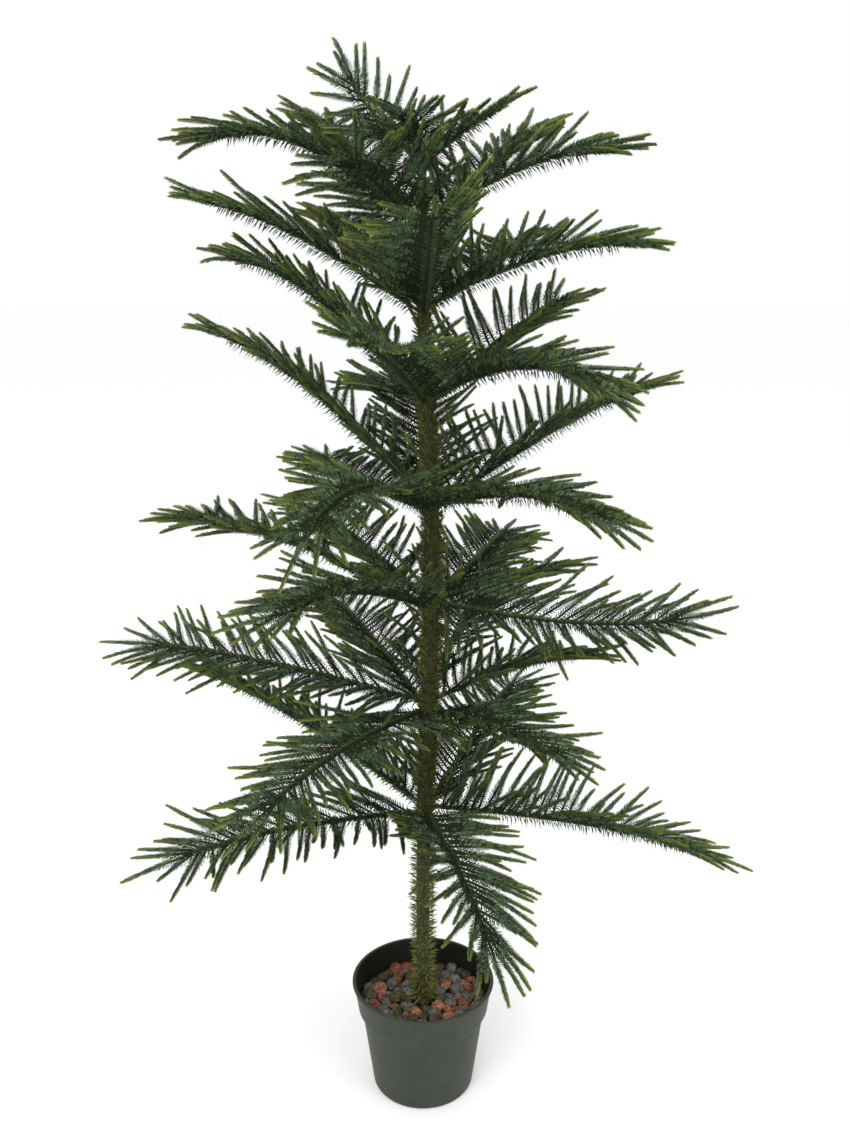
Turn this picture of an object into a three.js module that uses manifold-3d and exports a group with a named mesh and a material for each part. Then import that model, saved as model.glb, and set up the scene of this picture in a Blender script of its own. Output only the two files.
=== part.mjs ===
// Artificial Norfolk pine standing in a gravel-filled nursery pot.
// Millimetres, +Z up, the front is -Y, the origin is the centre of the pot's underside.
// A bearing is turned from the front towards +X, seen from above.
import * as THREE from 'three';
import { mergeVertices } from 'three/addons/utils/BufferGeometryUtils.js';
import Module from 'manifold-3d';

const wasm = await Module();
wasm.setup();

// Gap left between solids that meet
const GAP = 0.3;

// Nursery pot: a tapered body, a wider collar above a step, and a lip
const POT = {
  height: 146,
  footRadius: 61.5,
  footRound: 3,
  bodyFootRadius: 64,
  bodyTopRadius: 77.5,
  bodyTop: 102,
  collarRadius: 82.5,
  collarBottom: 108,
  collarTopRadius: 87.5,
  lipRadius: 90,
  lipHeight: 4,
  lipEdge: 1,
  wall: 2.2,
  floor: 3,
  segments: 40,
};

// Gravel that fills the pot, with loose stones on top that differ in size by a part
const GRAVEL = {
  level: 114,
  stones: 30,
  stoneRadius: 7,
  stoneFlat: 0.7,
  sizeSpread: 0.25,
  sunk: 1,
  trunkRoom: 6,
  wallRoom: 3,
};

// Trunk: a tapered pole with a flat foot, bowed aside between some heights
const TRUNK = {
  foot: 24,
  top: 1118,
  footRadius: 13,
  topRadius: 5,
  taperPower: 4,
  flare: 2,
  flareHeight: 40,
  bow: [
    { from: 250, to: 720, aside: 10 },
    { from: 720, to: 1010, aside: -10 },
  ],
  sides: 10,
  steps: 22,
};

// Limbs: bare near the trunk, then the stems of the foliage masses
const LIMB = {
  radius: 4,
  tipRadius: 2.2,
  boughEnd: 42,
  boughSides: 5,
  boughSteps: 2,
  roomSteps: 8,
  ribEnd: 0.8,
  sagPower: 3,
  stagger: 4,
};

// Twigs: sprays of needles in two ranks along a limb, closing into a fan at its end
const TWIG = {
  nearLength: 92,
  farLength: 70,
  lengthSpread: 0.07,
  radius: 4.6,
  farRadius: 3.8,
  ringShare: 0.5,
  spacing: 17,
  firstReach: 32,
  forward: 62,
  forwardFar: 48,
  fan: [62, 44, 26],
  fanSpacing: 10,
  fanLength: 0.92,
  farLift: 0.35,
  turn: 2.5,
  droop: 0.08,
  cuts: [1, 0.8, 0.6, 0.45],
  marks: [0.08, 0.3, 0.65, 1],
  picksPerLimb: 500,
  rightPick: 1000,
};

// Colour and roughness of each kind of part
const FINISHES = {
  pot: { color: 0x2b352c, roughness: 0.7 },
  gravel: { color: 0x8c7468, roughness: 0.9 },
  trunk: { color: 0x59582f, roughness: 0.9 },
  bough: { color: 0x4a4a2c, roughness: 0.9 },
  foliage: { color: 0x35573d, roughness: 0.8 },
};

function limb(bearing, reach, rise, sag, lift, ...more) {
  const [roll = 0, forward = TWIG.forward, skew = 0, openness = 1] = more;
  return { bearing, reach, rise, sag, lift, roll, forward, skew, openness };
}

// The seven whorls, lowest first: each limb's bearing and rise in degrees, its reach from the
// trunk's axis, the part of the reach that its tip sags, and in degrees the lift of its two rows
// of twigs, the roll that lowers the row on the right, seen from the trunk, the forward angle of
// the inner twigs where it isn't the common one, the skew that turns the right row back, and how
// far its fan and outer twigs open
const WHORLS = [
  {
    height: 382,
    bare: true,
    limbs: [
      limb(12, 370, 9, 0.18, 20, -20, 68, -20, 0.6),
      limb(87, 400, -4, 0.12, 52, -5, 78, 0, 0.6),
      limb(156, 385, 13, 0.06, 25),
      limb(239, 400, 23, 0.15, 38, 24),
      limb(303, 375, 11, 0.13, 18, -12, 60, -12),
    ],
  },
  {
    height: 517,
    bare: true,
    limbs: [
      limb(42, 252, 6, 0.08, 20, -8, 46, 0, 0.8),
      limb(118, 265, 14, 0.2, 25, -10),
      limb(205, 360, 14, 0.1, 25),
      limb(257, 425, 11, 0.09, 24, -20, 60, -20),
      limb(327, 355, 5, 0.17, 10, 0, 60, -14),
      limb(165, 340, 16, 0.1, 25),
    ],
  },
  {
    height: 642,
    bare: true,
    limbs: [
      limb(326, 302, 24, 0.33, 25, 10, 62, 0, 0.85),
      limb(74, 342, -6, -0.17, 17, 22, 60, 15),
      limb(160, 370, 6, 0.02, 30, 10),
      limb(214, 360, 16, 0.1, 25),
      limb(252, 375, 24, 0.23, 22),
      limb(130, 235, 3, 0, 25, 0, 50),
    ],
  },
  {
    height: 757,
    limbs: [
      limb(336, 330, 24, 0.47, 14, 0, 62, 0, 0.8),
      limb(38, 310, 16, 0.26, 14, -4, 62, 0, 0.5),
      limb(118, 350, 28, 0.14, 46, 0, 75, 0, 0.7),
      limb(245, 332, 41, 0.29, 24, 12, 60, 0, 0.5),
      limb(210, 355, 5, 0, 20),
      limb(185, 300, 28, 0.02, 25),
    ],
  },
  {
    height: 879,
    limbs: [
      limb(346, 280, 24, 0.16, 42, -14),
      limb(50, 262, 22, 0.42, 24, 0, 62, 0, 0.45),
      limb(136, 285, 28, 0.1, 45, 14, 72, 0, 0.7),
      limb(195, 300, -3, 0, 32),
      limb(244, 298, 42, 0.38, 28, 14, 60, 0, 0.5),
    ],
  },
  {
    height: 977,
    limbs: [
      limb(2, 300, 22, 0.07, 40, 22),
      limb(82, 258, 25, 0.24, 36, 8, 78, 0, 0.45),
      limb(150, 290, 22, 0.1, 30),
      limb(205, 300, 26, 0.1, 30),
      limb(264, 276, 33, 0.2, 24, 4, 62, 0, 0.45),
    ],
  },
  {
    height: 1066,
    limbs: [
      limb(336, 196, 20, 0.06, 30, 25, 74),
      limb(80, 215, 29, 0.26, 37, 14, 80, 0, 0.75),
      limb(134, 203, 36, 0.1, 25, 0, 70),
      limb(218, 228, 35, 0.1, 25),
      limb(268, 258, 38, 0.5, 14, -4, 62, 0, 0.5),
    ],
  },
];

// Shoots of the crown's tip, which grow together from one stem on the trunk's top
const CROWN = {
  stem: 14,
  stemSides: 6,
  shootRoot: 8.4,
  firstReach: 18,
  seed: 90,
  twigPart: 0.8,
  shoots: [
    limb(275, 90, 40, -0.35, 0, -75, 59, 21),
    limb(105, 85, 38, 0.1, 25),
    limb(350, 75, 35, 0.1, 20),
    limb(195, 85, 30, 0.1, 20),
  ],
};

const UP = new THREE.Vector3(0, 0, 1);
const FORWARD = new THREE.Vector3(0, 1, 0);
const rad = THREE.MathUtils.degToRad;
const mix = THREE.MathUtils.lerp;
const GOLDEN_ANGLE = Math.PI * (3 - Math.sqrt(5));

// A number from 0 to 1 that depends only on the two seeds
function chance(seed, index) {
  const wave = Math.sin(seed * 12.9898 + index * 78.233) * 43758.5453;
  return wave - Math.floor(wave);
}

function spread(seed, index, size) {
  return (2 * chance(seed, index) - 1) * size;
}

class LimbLine extends THREE.Curve {
  constructor(root, shape) {
    super();
    this.root = root;
    this.shape = shape;
  }

  getPoint(share, target = new THREE.Vector3()) {
    const { bearing, reach, rise, sag } = this.shape;
    const out = reach * share;
    const up = reach * (Math.tan(rad(rise)) * share - sag * share ** LIMB.sagPower);
    const turn = rad(bearing);
    return target.set(out * Math.sin(turn), -out * Math.cos(turn), up).add(this.root);
  }
}

// A stretch of another curve
class Stretch extends THREE.Curve {
  constructor(whole, from, to) {
    super();
    this.whole = whole;
    this.from = from;
    this.to = to;
  }

  getPoint(share, target = new THREE.Vector3()) {
    return this.whole.getPoint(mix(this.from, this.to, share), target);
  }
}

// A bar with flat sides bent along a curve
function bar(curve, { sides, steps, radius, upright }) {
  const geometry = new THREE.CylinderGeometry(1, 1, 1, sides, steps);
  const position = geometry.getAttribute('position');
  const point = new THREE.Vector3();
  const local = new THREE.Vector3();
  for (let i = 0; i < position.count; i += 1) {
    local.fromBufferAttribute(position, i);
    const share = THREE.MathUtils.clamp(local.y + 0.5, 0, 1);
    const tangent = curve.getTangent(share);
    const normal = upright.clone().addScaledVector(tangent, -upright.dot(tangent)).normalize();
    const side = new THREE.Vector3().crossVectors(normal, tangent);
    const size = Math.hypot(local.x, local.z) > 1e-6 ? radius(share) : 0;
    const angle = Math.atan2(local.z, local.x);
    curve.getPoint(share, point);
    point.addScaledVector(normal, size * Math.cos(angle));
    point.addScaledVector(side, size * Math.sin(angle));
    position.setXYZ(i, point.x, point.y, point.z);
  }
  return geometry;
}

function solidOf(geometry) {
  const bare = geometry.index ? geometry.clone() : geometry;
  bare.deleteAttribute('normal');
  bare.deleteAttribute('uv');
  const { index, attributes } = mergeVertices(bare, 1e-3);
  const faces = [];
  for (let i = 0; i < index.count; i += 3) {
    const [a, b, c] = [index.getX(i), index.getX(i + 1), index.getX(i + 2)];
    if (a !== b && b !== c && c !== a) faces.push(a, b, c);
  }
  return new wasm.Manifold(new wasm.Mesh({
    numProp: 3,
    vertProperties: attributes.position.array,
    triVerts: new Uint32Array(faces),
  }));
}

function geometryOf(solid) {
  const { vertProperties, triVerts } = solid.getMesh();
  const geometry = new THREE.BufferGeometry();
  geometry.setAttribute('position', new THREE.BufferAttribute(vertProperties, 3));
  geometry.setIndex(new THREE.BufferAttribute(triVerts, 1));
  return geometry;
}

// The outer shell of a solid's largest body: hollows sealed inside are filled, scraps dropped
function wholeOf(solid) {
  const bodies = solidOf(geometryOf(solid)).decompose();
  return bodies.sort((a, b) => b.volume() - a.volume())[0];
}

function turned(profile, segments) {
  const points = profile.map(([radius, height]) => new THREE.Vector2(radius, height));
  return new THREE.LatheGeometry(points, segments).rotateX(Math.PI / 2);
}

const tree = new THREE.Group();
tree.name = 'tree';

function add(name, solid, finish) {
  const material = new THREE.MeshStandardMaterial({ ...finish, flatShading: true });
  material.name = name;
  const mesh = new THREE.Mesh(geometryOf(solid), material);
  mesh.name = name;
  tree.add(mesh);
}

// Pot
function potRadius(height) {
  const share = (height - POT.footRound) / (POT.bodyTop - POT.footRound);
  return mix(POT.bodyFootRadius, POT.bodyTopRadius, share);
}

function collarRadius(height) {
  const share = (height - POT.collarBottom) / (POT.height - POT.lipHeight - POT.collarBottom);
  return mix(POT.collarRadius, POT.collarTopRadius, share);
}

function potSolid() {
  const { wall, floor, height, lipHeight, lipEdge } = POT;
  const underLip = height - lipHeight;
  return solidOf(turned([
    [0, 0],
    [POT.footRadius, 0],
    [POT.bodyFootRadius, POT.footRound],
    [POT.bodyTopRadius, POT.bodyTop],
    [POT.collarRadius, POT.collarBottom],
    [POT.collarTopRadius, underLip],
    [POT.lipRadius, underLip + lipEdge],
    [POT.lipRadius, height - lipEdge],
    [POT.lipRadius - lipEdge, height],
    [POT.collarTopRadius - wall, height],
    [POT.collarRadius - wall, POT.collarBottom],
    [POT.bodyTopRadius - wall, POT.bodyTop],
    [potRadius(floor) - wall, floor],
    [0, floor],
  ], POT.segments));
}

// Trunk
class TrunkLine extends THREE.Curve {
  getPoint(share, target = new THREE.Vector3()) {
    const height = mix(TRUNK.foot, TRUNK.top, share);
    target.set(0, 0, height);
    TRUNK.bow.forEach(({ from, to, aside }) => {
      target.x += aside * THREE.MathUtils.smoothstep(height, from, to);
    });
    return target;
  }
}

const trunkLine = new TrunkLine();

function trunkRadius(height) {
  const share = Math.max(0, (height - GRAVEL.level) / (TRUNK.top - GRAVEL.level));
  const flare = TRUNK.flare * Math.max(0, 1 - (height - GRAVEL.level) / TRUNK.flareHeight) ** 2;
  const taper = mix(TRUNK.footRadius, TRUNK.topRadius, share ** TRUNK.taperPower);
  return taper + (height > GRAVEL.level ? flare : TRUNK.flare);
}

// The trunk grown by a margin and sunk by a drop, to cut what meets it clear of it
function trunkSolid(margin, drop) {
  return solidOf(bar(trunkLine, {
    sides: TRUNK.sides,
    steps: TRUNK.steps,
    upright: FORWARD,
    radius: (share) => trunkRadius(trunkLine.getPoint(share).z) + margin,
  }).translate(0, 0, -drop));
}

function trunkCentre(height) {
  return trunkLine.getPoint((height - TRUNK.foot) / (TRUNK.top - TRUNK.foot));
}

// Gravel
function stone(index, x, y, size) {
  const { stoneFlat, sizeSpread, level, sunk } = GRAVEL;
  const geometry = new THREE.OctahedronGeometry(size, 0);
  geometry.rotateX(spread(index, 1, Math.PI));
  geometry.rotateY(spread(index, 2, Math.PI));
  geometry.scale(1 + spread(index, 3, sizeSpread), 1 + spread(index, 4, sizeSpread), stoneFlat);
  geometry.rotateZ(spread(index, 5, Math.PI));
  geometry.translate(x, y, level + sunk);
  return solidOf(geometry);
}

function gravelSolid(socket) {
  const { wall, floor } = POT;
  const clear = wall + 1.5 * GAP;
  const collar = collarRadius(GRAVEL.level) - clear;
  const bed = solidOf(turned([
    [0, floor + GAP],
    [potRadius(floor) - clear, floor + GAP],
    [POT.bodyTopRadius - clear, POT.bodyTop],
    [POT.collarRadius - clear, POT.collarBottom],
    [collar, GRAVEL.level],
    [0, GRAVEL.level],
  ], POT.segments));
  const stones = [];
  for (let i = 0; i < GRAVEL.stones; i += 1) {
    const size = GRAVEL.stoneRadius * (1 + spread(i, 6, GRAVEL.sizeSpread));
    const inner = TRUNK.footRadius + TRUNK.flare + GRAVEL.trunkRoom + size;
    const outer = collar - GRAVEL.wallRoom - size;
    const out = Math.sqrt(mix(inner ** 2, outer ** 2, (i + 0.5) / GRAVEL.stones));
    const angle = i * GOLDEN_ANGLE;
    stones.push(stone(i, out * Math.cos(angle), out * Math.sin(angle), size));
  }
  return wholeOf(wasm.Manifold.union([bed, ...stones]).subtract(socket));
}

// Room already taken by the trunk, limbs and twigs, as round-ended bars with their owners
const taken = [];

function claim(owner, points, radius, kind) {
  for (let i = 1; i < points.length; i += 1) {
    taken.push({ owner, from: points[i - 1], to: points[i], radius, kind });
  }
}

// Least distance between two straight stretches
function distanceBetween(a, b, c, d) {
  const u = b.clone().sub(a);
  const v = d.clone().sub(c);
  const w = a.clone().sub(c);
  const [uu, uv, vv, uw, vw] = [u.dot(u), u.dot(v), v.dot(v), u.dot(w), v.dot(w)];
  const flat = uu * vv - uv * uv;
  let s = flat > 1e-9 ? THREE.MathUtils.clamp((uv * vw - vv * uw) / flat, 0, 1) : 0;
  const t = THREE.MathUtils.clamp((uv * s + vw) / vv, 0, 1);
  s = THREE.MathUtils.clamp((uv * t - uw) / uu, 0, 1);
  return w.addScaledVector(u, s).addScaledVector(v, -t).length();
}

// Whether a twig has room. Near its own limb only the outer parts of twigs keep apart.
function isClear(owner, root, outer, radius) {
  return taken.every((other) => {
    const own = other.owner === owner;
    if (own && other.kind !== 'twig') return true;
    const points = own ? outer : [root, ...outer];
    const room = radius + other.radius + GAP;
    for (let i = 1; i < points.length; i += 1) {
      if (distanceBetween(points[i - 1], points[i], other.from, other.to) < room) return false;
    }
    return true;
  });
}

// Twigs and limbs
function limbRadius(share) {
  return mix(LIMB.radius, LIMB.tipRadius, share);
}

// A limb's place and directions at a share of its line
function limbFrame(line, share) {
  const along = line.getTangent(share);
  const aside = new THREE.Vector3().crossVectors(along, UP).normalize();
  const up = new THREE.Vector3().crossVectors(aside, along);
  return { at: line.getPoint(share), along, aside, up };
}

// The steps of a limb's twigs: their shares of its line, their forward angles, and how far
// along the row they are. They stand off steeply near the trunk and close into a fan at the end.
function twigSteps(line, first) {
  const whole = line.getLength();
  const fanFrom = LIMB.ribEnd - (TWIG.fan.length * TWIG.fanSpacing) / whole;
  const count = Math.max(1, Math.round(((fanFrom - first) * whole) / TWIG.spacing));
  const steps = [];
  for (let i = 0; i < count; i += 1) {
    const part = (i + 0.5) / count;
    const forward = mix(line.shape.forward, TWIG.forwardFar * line.shape.openness, part ** 2);
    steps.push({ from: mix(first, fanFrom, i / count), forward, part, size: 1 });
  }
  TWIG.fan.forEach((angle, i) => {
    const from = fanFrom + (i * TWIG.fanSpacing) / whole;
    const forward = angle * line.shape.openness;
    steps.push({ from, forward, part: 1, size: TWIG.fanLength });
  });
  steps.forEach((step, i) => {
    const to = i + 1 < steps.length ? steps[i + 1].from : LIMB.ribEnd;
    Object.assign(step, { to, share: (step.from + to) / 2 });
  });
  return steps;
}

// The heading, length and size of the twig on one side of a limb at a step, by the seeded rule
function twigPlan(line, seed, side, { share, forward, part, size }) {
  const pick = Math.round(TWIG.picksPerLimb * share) + (side > 0 ? TWIG.rightPick : 0);
  const skew = side * line.shape.skew * (1 - part);
  const lean = rad(forward + skew + spread(seed, pick, TWIG.turn));
  const tilt = line.shape.lift * mix(1, TWIG.farLift, part ** 2) - side * line.shape.roll;
  const lift = rad(tilt + spread(seed, pick + 1, TWIG.turn));
  const { along, aside, up } = limbFrame(line, share);
  const heading = along.multiplyScalar(Math.cos(lean));
  heading.addScaledVector(aside, side * Math.sin(lean) * Math.cos(lift));
  heading.addScaledVector(up, Math.sin(lean) * Math.sin(lift));
  const whole = size * mix(TWIG.nearLength, TWIG.farLength, part);
  const length = whole * (1 + spread(seed, pick + 2, TWIG.lengthSpread));
  return { heading, length, radius: mix(TWIG.radius, TWIG.farRadius, part) };
}

function twigLine(root, heading, length) {
  const middle = root.clone().addScaledVector(heading, length / 2);
  const tip = root.clone().addScaledVector(heading, length);
  tip.z -= TWIG.droop * length;
  return new THREE.QuadraticBezierCurve3(root, middle, tip);
}

// A foliage mass: a four-sided stem along a limb's line with a twig on each side at every step.
// A twig is a three-sided core whose middle ring is turned, so its corners stand out like needles.
class Mass {
  constructor(owner, line, seed, twigPart) {
    this.owner = owner;
    this.line = line;
    this.seed = seed;
    this.twigPart = twigPart;
    this.points = [];
    this.faces = [];
  }

  put(point) {
    return this.points.push(point) - 1;
  }

  // The four corners of the stem: lower right, upper right, upper left, lower left
  ring(share, radius = limbRadius(share)) {
    const { at, aside, up } = limbFrame(this.line, share);
    const half = radius * Math.SQRT1_2;
    return [[1, -1], [1, 1], [-1, 1], [-1, -1]].map(([x, y]) => (
      this.put(at.clone().addScaledVector(aside, x * half).addScaledVector(up, y * half))
    ));
  }

  // The longest of a few lengths at which a twig has room, or none
  clearLine(root, { heading, length, radius }) {
    for (const part of TWIG.cuts) {
      const line = twigLine(root, heading, length * part * this.twigPart);
      const [inner, ...outer] = TWIG.marks.map((share) => line.getPoint(share));
      if (isClear(this.owner, inner, outer, radius)) {
        claim(this.owner, [inner, outer[0]], radius, 'root');
        claim(this.owner, outer, radius, 'twig');
        return line;
      }
    }
    return null;
  }

  twig(base, plan) {
    const corners = base.map((index) => this.points[index]);
    const root = new THREE.Vector3();
    corners.forEach((corner) => root.addScaledVector(corner, 1 / 3));
    const line = plan && this.clearLine(root, plan);
    if (!line) {
      this.faces.push(...base);
      return;
    }
    const across = corners.map((corner) => (
      corner.clone().sub(root).projectOnPlane(plan.heading).normalize()
    ));
    const centre = line.getPoint(TWIG.ringShare);
    const ring = across.map((way, i) => {
      const between = way.clone().add(across[(i + 1) % 3]).normalize();
      return this.put(between.multiplyScalar(plan.radius).add(centre));
    });
    const tip = this.put(line.getPoint(1));
    for (let i = 0; i < 3; i += 1) {
      const next = (i + 1) % 3;
      this.faces.push(base[i], base[next], ring[i]);
      this.faces.push(base[next], ring[next], ring[i]);
      this.faces.push(ring[i], ring[next], tip);
    }
  }

  // One step of the stem between two rings; a bare step has no twigs
  step(back, front, rule) {
    const [backLowR, backTopR, backTopL, backLowL] = back;
    const [lowR, topR, topL, lowL] = front;
    this.faces.push(backTopR, topR, topL, backTopR, topL, backTopL);
    this.faces.push(backLowR, lowL, lowR, backLowR, backLowL, lowL);
    this.faces.push(backLowR, lowR, backTopR, backTopL, lowL, backLowL);
    const plan = (side) => rule && twigPlan(this.line, this.seed, side, rule);
    this.twig([lowR, topR, backTopR], plan(1));
    this.twig([backTopL, topL, lowL], plan(-1));
  }

  // The stem from a share of the line to its end, and the limb's last twig straight on
  grow(from, first) {
    let back = this.ring(from);
    const [rootLowR, rootTopR, rootTopL, rootLowL] = back;
    this.faces.push(rootLowL, rootLowR, rootTopR, rootLowL, rootTopR, rootTopL);
    const advance = (share, rule, radius) => {
      const front = this.ring(share, radius);
      this.step(back, front, rule);
      back = front;
    };
    if (from < first) advance(first);
    twigSteps(this.line, first).forEach((rule) => advance(rule.to, rule));
    advance(mix(LIMB.ribEnd, 1, TWIG.ringShare), undefined, TWIG.farRadius);
    const tip = this.put(this.line.getPoint(1));
    back.forEach((corner, i) => this.faces.push(corner, tip, back[(i + 1) % 4]));
    return this;
  }

  solid() {
    const geometry = new THREE.BufferGeometry().setFromPoints(this.points);
    geometry.setIndex(this.faces);
    return solidOf(geometry);
  }
}

function boughSolid(line, to) {
  return solidOf(bar(new Stretch(line, 0, to), {
    sides: LIMB.boughSides,
    steps: LIMB.boughSteps,
    upright: UP,
    radius: (share) => limbRadius(share * to),
  }));
}

// The limbs of all whorls, each with its line and its names
function limbPlans() {
  const plans = [];
  WHORLS.forEach(({ height, bare = false, limbs }, level) => {
    limbs.forEach((shape, order) => {
      const label = `${level + 1}_${order + 1}`;
      const root = trunkCentre(height + (order % 2 ? 1 : -1) * LIMB.stagger);
      plans.push({
        label,
        bare,
        owner: `foliage_${label}`,
        line: new LimbLine(root, shape),
        seed: 10 * level + order + 1,
        reach: shape.reach,
      });
    });
  });
  return plans;
}

const trunkRoom = trunkSolid(GAP, 0);
add('pot', potSolid(), FINISHES.pot);
add('gravel', gravelSolid(trunkSolid(GAP, GAP)), FINISHES.gravel);
add('trunk', trunkSolid(0, 0), FINISHES.trunk);
claim('trunk', trunkLine.getPoints(TRUNK.steps), TRUNK.footRadius, 'trunk');

const plans = limbPlans();
for (const { owner, line } of plans) {
  claim(owner, line.getPoints(LIMB.roomSteps).slice(0, -1), LIMB.radius, 'limb');
}

for (const { label, bare, owner, line, seed, reach } of plans) {
  const from = bare ? LIMB.boughEnd / reach : 0;
  const first = bare ? from : TWIG.firstReach / reach;
  if (bare) {
    const bough = boughSolid(line, from - GAP / reach).subtract(trunkRoom);
    add(`bough_${label}`, wholeOf(bough), FINISHES.bough);
  }
  const mass = new Mass(owner, line, seed, 1).grow(from, first).solid();
  add(owner, bare ? mass : wholeOf(mass.subtract(trunkRoom)), FINISHES.foliage);
}

// The crown's tip
function crownSolid() {
  const foot = trunkLine.getPoint(1);
  foot.z += GAP;
  const knot = foot.clone().addScaledVector(UP, CROWN.stem);
  const solids = [solidOf(bar(new THREE.LineCurve3(foot, knot), {
    sides: CROWN.stemSides,
    steps: 1,
    upright: FORWARD,
    radius: () => TRUNK.topRadius,
  }))];
  const root = foot.clone().addScaledVector(UP, CROWN.shootRoot);
  CROWN.shoots.forEach((shape, order) => {
    const line = new LimbLine(root, shape);
    const shoot = new Mass('foliage_tip', line, CROWN.seed + order, CROWN.twigPart);
    solids.push(shoot.grow(0, CROWN.firstReach / shape.reach).solid());
  });
  return wholeOf(wasm.Manifold.union(solids));
}

add('foliage_tip', crownSolid(), FINISHES.foliage);

export default tree;
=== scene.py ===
"""An artificial Norfolk pine in a gravel-filled nursery pot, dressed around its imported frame.

Metres, +Z up, the front of the tree is -Y. A bearing is turned from the front towards +X, seen
from above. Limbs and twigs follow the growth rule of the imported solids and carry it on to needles.
"""

import math
from typing import NamedTuple

import bmesh
import bpy
import numpy as np
from bpy.props import (
    FloatProperty,
    FloatVectorProperty,
    IntProperty,
    PointerProperty,
)
from bpy.types import Operator, Panel, PropertyGroup
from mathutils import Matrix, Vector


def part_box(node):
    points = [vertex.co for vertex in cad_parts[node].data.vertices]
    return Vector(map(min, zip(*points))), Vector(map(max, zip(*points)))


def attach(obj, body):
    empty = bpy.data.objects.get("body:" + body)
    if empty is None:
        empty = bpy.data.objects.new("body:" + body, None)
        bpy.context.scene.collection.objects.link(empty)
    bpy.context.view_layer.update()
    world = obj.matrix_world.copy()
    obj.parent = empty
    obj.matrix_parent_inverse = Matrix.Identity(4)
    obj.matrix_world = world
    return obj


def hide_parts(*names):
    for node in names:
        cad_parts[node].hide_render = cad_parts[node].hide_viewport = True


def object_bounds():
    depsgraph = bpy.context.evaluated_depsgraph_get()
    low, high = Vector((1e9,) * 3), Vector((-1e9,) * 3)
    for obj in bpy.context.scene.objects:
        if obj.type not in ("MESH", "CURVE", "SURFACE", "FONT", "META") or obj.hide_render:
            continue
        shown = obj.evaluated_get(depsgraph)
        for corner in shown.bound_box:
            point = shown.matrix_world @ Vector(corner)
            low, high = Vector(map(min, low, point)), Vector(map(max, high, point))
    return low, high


bl_info = {
    "name": "Potted Norfolk pine",
    "version": (1, 0, 0),
    "blender": (4, 5, 0),
    "location": "View3D > Sidebar > Norfolk pine",
    "description": "Builds an artificial Norfolk pine in a gravel-filled pot around its packed frame",
    "category": "Object",
}

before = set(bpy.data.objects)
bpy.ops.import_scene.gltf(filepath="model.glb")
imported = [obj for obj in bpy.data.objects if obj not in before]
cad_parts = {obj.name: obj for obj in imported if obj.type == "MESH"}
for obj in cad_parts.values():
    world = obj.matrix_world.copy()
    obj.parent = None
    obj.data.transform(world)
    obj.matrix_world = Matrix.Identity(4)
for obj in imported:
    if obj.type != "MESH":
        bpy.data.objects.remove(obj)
CAD_BOX = [list(corner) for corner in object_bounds()]
POT_LOW, POT_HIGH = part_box("pot")
TRUNK_LOW, TRUNK_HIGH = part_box("trunk")

BODY = "root"
UP = np.array((0.0, 0.0, 1.0))
BACK = np.array((0.0, 1.0, 0.0))
GOLDEN_ANGLE = math.pi * (3 - math.sqrt(5))


# Whorls of limbs
class Shape(NamedTuple):
    """A limb: bearing and rise in degrees, reach from the trunk's axis in metres, the part of the
    reach that its tip sags, and in degrees the lift of its two rows of twigs, the roll that lowers
    the row on the right, seen from the trunk, the forward angle of its inner twigs, the skew that
    turns the right row back, and how far its fan and outer twigs open."""

    bearing: float
    reach: float
    rise: float
    sag: float
    lift: float
    roll: float = 0
    forward: float = 62
    skew: float = 0
    openness: float = 1


class Whorl(NamedTuple):
    """Limbs that leave the trunk at one height."""

    height: float
    limbs: tuple


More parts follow.
